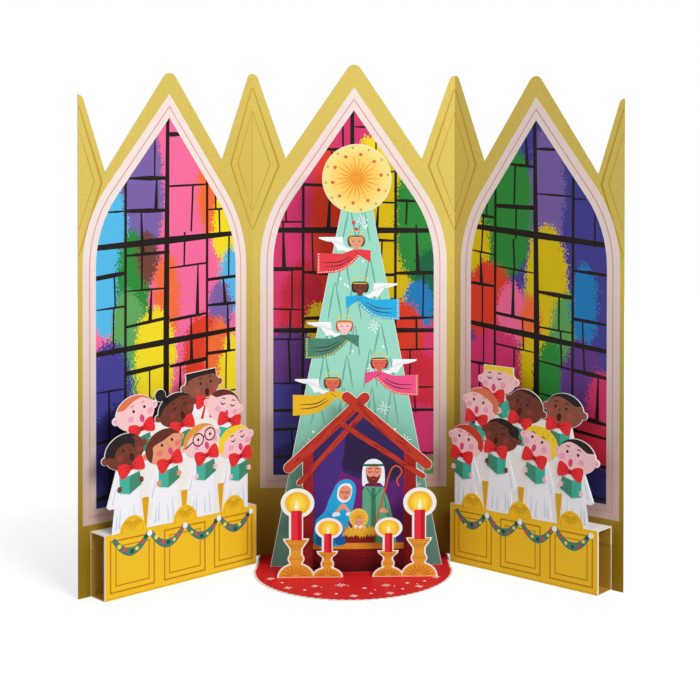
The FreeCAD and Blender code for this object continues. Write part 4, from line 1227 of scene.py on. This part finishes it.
HEAD_WIDTH = 20.4
HEAD_HEIGHT = 16.0
EAR_RADIUS = 1.9
FACE_SHIFT = 2.2
FRONT_HEAD = 65.0
BACK_HEAD = 80.6
TOP_HEAD = 92.4
SINGER_PITCH = 20.9
BACK_PITCH = 24.5
BACK_SHIFT = 3.0
TOP_SHIFT = 11.0
BUN_SHIFT = 8.6
BUN_RISE = 7.4
BUN_RADIUS = 3.0
ROBE_WIDTH = 13.6
SLEEVE_REACH = 8.9
SLEEVE_HEIGHT = 41.7
ELBOW_REACH = 8.0
TOP_ROBE_FOOT = 77.0
BACK_ROBE_FOOT = 58.0
GAP_TOP = 43.3
NECK_DROP = 4.0
BOW_DROP = 7.4
BOW_LEAD = 3.4
BOOK_DROP = 14.5
BOOK_LEAD = 2.5
SKIN_BLUSH = {"fair": "fair_blush", "tan": "tan_blush", "brown": "brown_blush", "deep": "deep_blush"}

# Each singer: skin, hair, hair style, eyes, shift along the wing and up, and the head's lean in degrees.
# The rows run from the fold outwards.

SINGERS = {
    -1: {
        "front": (
            ("fair", "blond_hair", "swept", "closed", 2.6, -2.8, 17),
            ("fair", "sand_hair", "glasses", "open", 1.7, 0.4, 17),
            ("tan", "brown_hair", "fringe", "open", 1.4, 0.2, 21),
            ("deep", "black_hair", "curls", "open", 0.9, 0.4, 18),
        ),
        "back": (
            ("fair", "brown_hair", "short", "closed", -0.6, 0.0, -14),
            ("deep", "black_hair", "bun", "closed", 1.9, 0.7, 18),
            ("fair", "ginger_hair", "short", "open", -0.8, 1.6, 17),
        ),
        "top": ("brown", "black_hair", "flat", "open", 1.4, -0.9, 6),
    },
    1: {
        "front": (
            ("fair", "red_hair", "swept", "open", 0.0, -3.3, -13),
            ("deep", "black_hair", "side_bun", "closed", -0.3, 1.9, -12),
            ("fair", "blond_hair", "fringe", "open", 1.0, 0.4, -20),
            ("fair", "black_hair", "short", "open", -0.3, -3.4, -11),
        ),
        "back": (
            ("fair", "ginger_hair", "swept", "open", -1.0, 0.0, -12),
            ("deep", "black_hair", "cropped", "open", 0.1, 1.3, -18),
            ("brown", "black_hair", "short", "open", -2.9, 1.4, -9),
        ),
        "top": ("fair", "blond_hair", "flat", "closed", -1.9, 0.5, -2),
    },
}

# Hairlines: the angles at which the hair ends on the outer side and on the side that looks at the fold,
# then the points between them, as shares of the head's half sizes

HAIRLINES = {
    "short": (150, 12, ((-0.8, 0.5), (-0.5, 0.42), (0.0, 0.66), (0.5, 0.72), (0.86, 0.42))),
    "cropped": (140, 30, ((-0.6, 0.72), (0.0, 0.8), (0.6, 0.74))),
    "swept": (200, 20, ((-0.72, -0.2), (-0.62, 0.2), (-0.2, 0.46), (0.36, 0.6), (0.8, 0.5))),
    "fringe": (
        205, 10, ((-0.84, -0.5), (-0.62, -0.05), (-0.5, 0.3), (0.1, 0.34), (0.6, 0.42), (0.88, 0.3)),
    ),
    "curls": (170, 30, ((-0.8, 0.1), (-0.5, 0.3), (-0.1, 0.5), (0.3, 0.46), (0.66, 0.62))),
    "bun": (175, 20, ((-0.86, 0.1), (-0.6, 0.42), (0.0, 0.62), (0.5, 0.66), (0.84, 0.46))),
    "glasses": (185, 25, ((-0.84, 0.0), (-0.6, 0.4), (-0.1, 0.56), (0.4, 0.7), (0.72, 0.6))),
}
HAIRLINES["side_bun"] = HAIRLINES["bun"]


def draw_head(sheet, x, z, lean, look, inward, level):
    """A head with hair and a singing face. inward is the side, 1 or -1, that it looks to."""
    skin, hair, style, eyes = look
    blush = SKIN_BLUSH[skin]
    dark = skin in ("deep", "brown")
    half_w = HEAD_WIDTH / 2 - CUT_MARGIN
    half_h = HEAD_HEIGHT / 2 - CUT_MARGIN

    def draw(points, colour, up):
        """A shape given in the head's own frame, with +X towards the fold."""
        sheet.fill(turned(points, x, z, lean, inward), colour, level + up)

    for way in (-1, 1):
        draw(oval(way * HEAD_WIDTH / 2, 0, 2 * EAR_RADIUS - 0.5, 2 * EAR_RADIUS - 0.5, steps=20), skin, 0)
        draw(oval(way * (HEAD_WIDTH / 2 + 0.2), 0, 1.5, 1.7, steps=14), blush, 1)
    if style == "flat":
        draw(rectangle(-8.5, 8.5, -1.0, 6.7), hair, 1)
        draw(oval(0, 0, 2 * half_w, 12.8), skin, 2)
        line = [(-8.5, 0.8), (-7.4, 3.2), (-4.6, 4.2), (0, 4.5), (8.5, 4.6), (8.5, 6.7), (-8.5, 6.7)]
        draw(line, hair, 3)
    else:
        draw(oval(0, 0, 2 * half_w, 2 * half_h), skin, 2)
        first, last, inner = HAIRLINES[style]
        turns = [math.radians(last + (first - last) * step / 24) for step in range(25)]
        arc = [rim_point(0, 0, turn, half_w, half_h) for turn in turns]
        line = [(u * half_w, v * half_h) for u, v in inner]
        draw(arc + smooth([arc[-1]] + line + [arc[0]], False, 4)[1:-1], hair, 3)
    if style == "curls":
        for step in range(10):
            middle = rim_point(0, 0, math.radians(40 + 14 * step), half_w - 3.6, half_h - 3.1)
            draw(oval(*middle, 2.8, 2.8, steps=16), hair, 4 + step % 2)
    if style == "side_bun":
        draw(oval(-6.6, 3.6, 6.0, 5.4, steps=20), hair, 4)
    if style == "fringe":
        for step in range(5):
            top = (-5.5 + step * 2.8, half_h * 0.85)
            low = (-5.9 + step * 3.2, half_h * 0.42)
            draw(bar(top, low, (0.1, 0.35, 0.1)), "ochre" if "blond" in hair else "line", 4)
    shift = FACE_SHIFT
    apart = 3.5 if style == "glasses" else 2.9
    for way in (-1, 1):
        eye = (shift + way * apart, 0.9)
        draw(oval(shift + way * 5.2, -2.0, 3.2, 2.8, steps=20), blush, 4)
        if eyes == "open":
            draw(oval(eye[0], eye[1], 1.3, 1.5, steps=14), "line", 5)
        else:
            lid = [(eye[0] + u, v) for u, v in ((-1.3, 1.4), (-0.7, 0.7), (0, 0.5), (0.7, 0.7), (1.3, 1.4))]
            draw(band(lid, (0.4, 0.7, 0.4)), "line", 5)
        brow = [(eye[0] - 1.1, 3.1), (eye[0], 3.5), (eye[0] + 1.1, 3.2)]
        draw(band(brow, (0.3, 0.55, 0.3)), "line" if dark or "blond" in hair else hair, 5)
        if style == "glasses":
            rings = [turned(oval(*eye, wide, wide, steps=28), x, z, lean, inward) for wide in (6.5, 5.3)]
            sheet.fill(rings[0], "line", level + 6, rings[1])
    if style == "glasses":
        draw(bar((shift - 0.6, 1.2), (shift + 0.6, 1.2), 0.5), "line", 7)
        draw(bar((shift - 6.5, 1.0), (-9.4, -0.4), 0.6), "line", 7)
    nose = [(shift + 0.3, 0.2), (shift + 0.9, -0.7), (shift + 0.2, -1.0)]
    draw(band(nose, 0.35), "mouth_dark" if dark else blush, 5)
    draw(oval(shift + 0.3, -3.7, 2.4, 3.8, steps=20), "mouth_dark" if dark else "mouth", 5)


def draw_bow(sheet, x, z, lean, level):
    """A red bow at the neck."""
    lobe = [(0, 0.4), (2.8, 2.9), (6.2, 3.4), (6.8, 0), (6.0, -3.4), (2.6, -2.4), (0, -0.4)]
    for way in (-1, 1):
        sheet.fill(turned(smooth([(way * u, v) for u, v in lobe], steps=3), x, z, lean), "bow", level)
        for fold in (0.7, -0.5):
            fold_line = bar((way * 1.2, fold * 0.9), (way * 3.8, fold * 1.8), (0.5, 0.4, 0.1))
            sheet.fill(turned(fold_line, x, z, lean), "bow_dark", level + 1)
    sheet.fill(turned(oval(0, 0, 2.2, 2.4, steps=16), x, z, lean), "bow_dark", level + 2)


def draw_book(sheet, x, z, skin, inward, level):
    """An open book with a hand at each side."""

    def draw(points, colour, up):
        """A shape given in the book's own frame, with +X towards the fold."""
        sheet.fill(turned(points, x, z, 0, inward), colour, level + up)

    draw([(-5.2, 4.6), (0, 3.5), (0, -4.6), (-4.9, -3.6)], "book_light", 0)
    draw([(0, 3.5), (5.1, 5.0), (6.2, -0.8), (0, -4.6)], "book_dark", 0)
    for across, up in ((-5.3, -2.0), (6.2, 1.2)):
        draw(oval(across, up, 1.9, 2.6, steps=16), skin, 1)
        for finger in range(3):
            start = (across, up - 0.8 + finger * 0.8)
            draw(bar(start, (across * 0.7, start[1] + 0.2), (0.6, 0.5, 0.3)), skin, 2)


def draw_robe(sheet, x, foot, top, side, level):
    """A white robe with pale blue folds, a hanging sleeve and a bent arm."""
    inner = x - side * (ELBOW_REACH - CUT_MARGIN)
    outer = x + side * (ROBE_WIDTH / 2 - CUT_MARGIN)
    hem = x + side * (SLEEVE_REACH - CUT_MARGIN)
    collar = x + side * 2.8
    robe = [(inner, foot), (outer, foot), (collar, top), (inner + side * 5, top), (inner, 49)]
    sheet.fill(robe, "robe", level)
    sleeve = [(x, SLEEVE_HEIGHT - 0.9), (hem - side * 1.2, SLEEVE_HEIGHT - 0.9), (hem, SLEEVE_HEIGHT)]
    sheet.fill(sleeve + [(collar, top), (x, top)], "robe", level + 2)
    for away, low, high in ((-5.6, 1.5, 12), (-2.6, 1, 9), (2.6, 2, 11), (4.4, 1.5, 9)):
        start = (x + side * away, foot + low)
        end = (x + side * away * 0.85, foot + high)
        sheet.bar(start, end, (0.9, 0.7, 0.2), "robe_fold", level + 1)
    crease = bar((x + side * 6.2, SLEEVE_HEIGHT + 0.6), (x + side * 3.6, 53), (0.7, 0.5, 0.1))
    sheet.fill(crease, "robe_fold", level + 3)


def draw_back_robe(sheet, x, neck, foot, half_neck, half_foot, level):
    """The robe of a singer in a row behind, from the neck down to a hidden foot."""
    corners = mirrored(((half_foot, foot), (half_neck, neck)))
    sheet.fill([(x + across, z) for across, z in corners], "robe", level)


def make_singers(side, name):
    """The singers on one wing: the top one, the back row, then the front row before them."""
    sheet = Print(f"{name}_singers_print", wing_place(side, PEW_DEPTH), "singer_card")
    cast = SINGERS[side]
    inward = -side
    *look, along, rise, lean = cast["top"]
    x = side * (PEW_MIDDLE - TOP_SHIFT + along)
    z = TOP_HEAD + rise
    draw_back_robe(sheet, x, z - NECK_DROP, TOP_ROBE_FOOT, 2.8, 6, 0)
    for way in (-1, 1):
        tail = bar((x + inward * 3 + way, z - 9), (x + inward * 2.6 + way * 2.6, z - 16), (1.0, 1.3, 1.7))
        sheet.fill(tail, "bow", 1 + (way > 0))
    draw_head(sheet, x, z, lean, look, inward, 0)
    if side > 0:
        draw_book(sheet, x + 2, z - BOOK_DROP + 1, look[0], inward, 3)
    draw_bow(sheet, x + inward * 3, z - BOW_DROP, lean, 6)
    for number, (*look, along, rise, lean) in enumerate(cast["back"]):
        x = side * (PEW_MIDDLE + BACK_SHIFT + (number - 1) * BACK_PITCH + along)
        z = BACK_HEAD + rise
        draw_back_robe(sheet, x, z - NECK_DROP, BACK_ROBE_FOOT, 2.7, 6.2, 7 + number)
        if look[2] == "bun":
            middle = (x - BUN_SHIFT, z + BUN_RISE)
            dot(sheet, *middle, BUN_RADIUS - CUT_MARGIN, look[1], 9)
            sheet.bar(middle, (x - 4.5, z + 4), 2.6, look[1], 13)
        draw_head(sheet, x, z, lean, look, inward, 10)
        draw_book(sheet, x + inward * BOOK_LEAD, z - BOOK_DROP, look[0], inward, 12)
        draw_bow(sheet, x + inward * BOW_LEAD, z - BOW_DROP, lean, 16)
    for number, (*look, along, rise, lean) in enumerate(cast["front"]):
        x = side * (PEW_MIDDLE + (number - 1.5) * SINGER_PITCH + along)
        z = FRONT_HEAD + rise
        even = 4 * (number % 2)
        draw_robe(sheet, x, PEW_HEIGHT, z - 5, side, 7 + even)
        draw_head(sheet, x, z, lean, look, inward, 18 + 6 * (number % 2))
        draw_book(sheet, x + inward * BOOK_LEAD, z - BOOK_DROP - 0.2, look[0], inward, 32)
        draw_bow(sheet, x + inward * BOW_LEAD, z - BOW_DROP, lean, 35)
        if number:
            # Painted shade: a darker pew gold fills the gaps between the robes
            gap = side * (PEW_MIDDLE + (number - 2) * SINGER_PITCH + 0.5)
            wedge = mirrored(((0.4, PEW_HEIGHT), (1.8, GAP_TOP)))
            sheet.fill([(gap + across, up) for across, up in wedge], "pew_trim_and_shade", 16)
    return sheet.finish()


# Studio: a plain pale floor, soft lamps and the photograph's camera

SENSOR_WIDTH = 36.0
FOCAL_PIXELS = 1088.99
PHOTO_PIXELS = 700
CAMERA_PLACE = (-1.25, -555.32, 156.01)
CAMERA_YAW = 2.57
CAMERA_PITCH = 0.56
CAMERA_ROLL = -0.09
SHIFT_PIXELS = (50.27, 90.0)

# The studio's own sizes are in metres. Lamps: name, place, aim, size and power

LAMPS = (
    ("key", (0.75, -1.0, 0.95), (0, 0, 0.12), 0.6, 16.6),
    ("fill", (-0.9, -0.9, 0.7), (0, 0, 0.12), 0.8, 3.4),
)
WORLD_LIGHT = 0.27
FLOOR_REACH = 3.0
FLOOR_SHADE = 0.62

# The floor's own light, which the camera alone sees, grows away from the card and its shadow

FLOOR_GLOW = {"From Min": 0.12, "From Max": 0.4, "To Min": 0.56, "To Max": 1.0}


def make_camera():
    """The camera that was fitted to the photograph."""
    data = bpy.data.cameras.new("camera")
    data.sensor_width = SENSOR_WIDTH
    data.lens = FOCAL_PIXELS * SENSOR_WIDTH / PHOTO_PIXELS
    data.shift_x = -SHIFT_PIXELS[0] / PHOTO_PIXELS
    data.shift_y = -SHIFT_PIXELS[1] / PHOTO_PIXELS
    data.clip_start = 0.01
    data.clip_end = 20.0
    camera = bpy.data.objects.new("camera", data)
    camera.location = (CAMERA_PLACE[0] * MM, (CAMERA_PLACE[1] + PANEL_Y) * MM, CAMERA_PLACE[2] * MM)
    camera.rotation_euler = (
        math.radians(90 - CAMERA_PITCH),
        math.radians(CAMERA_ROLL),
        math.radians(-CAMERA_YAW),
    )
    bpy.context.scene.collection.objects.link(camera)
    bpy.context.scene.camera = camera


def make_lamp(name, place, aim, size, power):
    """A soft square lamp aimed at a point."""
    data = bpy.data.lights.new(name, "AREA")
    data.shape = "SQUARE"
    data.size = size
    data.energy = power
    lamp = bpy.data.objects.new(name, data)
    lamp.location = place
    lamp.rotation_euler = (Vector(aim) - Vector(place)).to_track_quat("-Z", "Y").to_euler()
    bpy.context.scene.collection.objects.link(lamp)


def seen_directly(tree):
    """1 for what the camera sees, straight or mirrored, and 0 for all other light."""
    rays = tree.nodes.new("ShaderNodeLightPath").outputs
    return add_node(tree, "Math", {0: rays["Is Camera Ray"], 1: rays["Is Glossy Ray"]}, operation="MAXIMUM")


def make_studio():
    """Lamps, a white world and the floor, which keeps the card's shadow."""
    scene = bpy.context.scene
    scene.view_settings.view_transform = "Standard"
    world = bpy.data.worlds.new("world")
    world.use_nodes = True
    scene.world = world
    tree = world.node_tree
    background = tree.nodes["Background"]
    background.inputs["Color"].default_value = (1, 1, 1, 1)
    strength = {"Value": seen_directly(tree), "To Min": WORLD_LIGHT, "To Max": 1.0}
    tree.links.new(add_node(tree, "MapRange", strength), background.inputs["Strength"])
    for lamp in LAMPS:
        make_lamp(*lamp)
    data = bpy.data.meshes.new("studio_floor")
    corners = rectangle(-FLOOR_REACH, FLOOR_REACH, -FLOOR_REACH, FLOOR_REACH)
    data.from_pydata([(x, y, 0) for x, y in corners], [], [(0, 1, 2, 3)])
    floor = bpy.data.objects.new("studio_floor", data)
    scene.collection.objects.link(floor)
    material, tree, shader = new_material("studio_floor", rough=0.9, sheen=0.5)
    shader.inputs["Base Color"].default_value = (FLOOR_SHADE, FLOOR_SHADE, FLOOR_SHADE, 1)
    shader.inputs["Emission Color"].default_value = (1, 1, 1, 1)
    glow = add_node(tree, "MapRange", {"Value": add_length(tree, object_place(tree)), **FLOOR_GLOW})
    lift = add_node(tree, "Math", {0: seen_directly(tree), 1: glow}, operation="MULTIPLY")
    tree.links.new(lift, shader.inputs["Emission Strength"])
    floor.data.materials.append(material)


def main():
    """Dresses the card, from the backdrop forwards."""
    make_camera()
    make_studio()
    dress_sheets()
    for seed, name in enumerate(WINDOWS, 5):
        make_window(name, seed)
    make_gilding()
    make_floor_print()
    make_tree_print()
    make_star_print()
    for number in range(len(ANGELS)):
        make_angel_print(number)
    make_stable_print()
    make_family_print()
    make_candle_prints()
    for side, name in ((-1, "left"), (1, "right")):
        make_pew_print(side, name)
        make_garland(side, name)
        make_singers(side, name)


main()
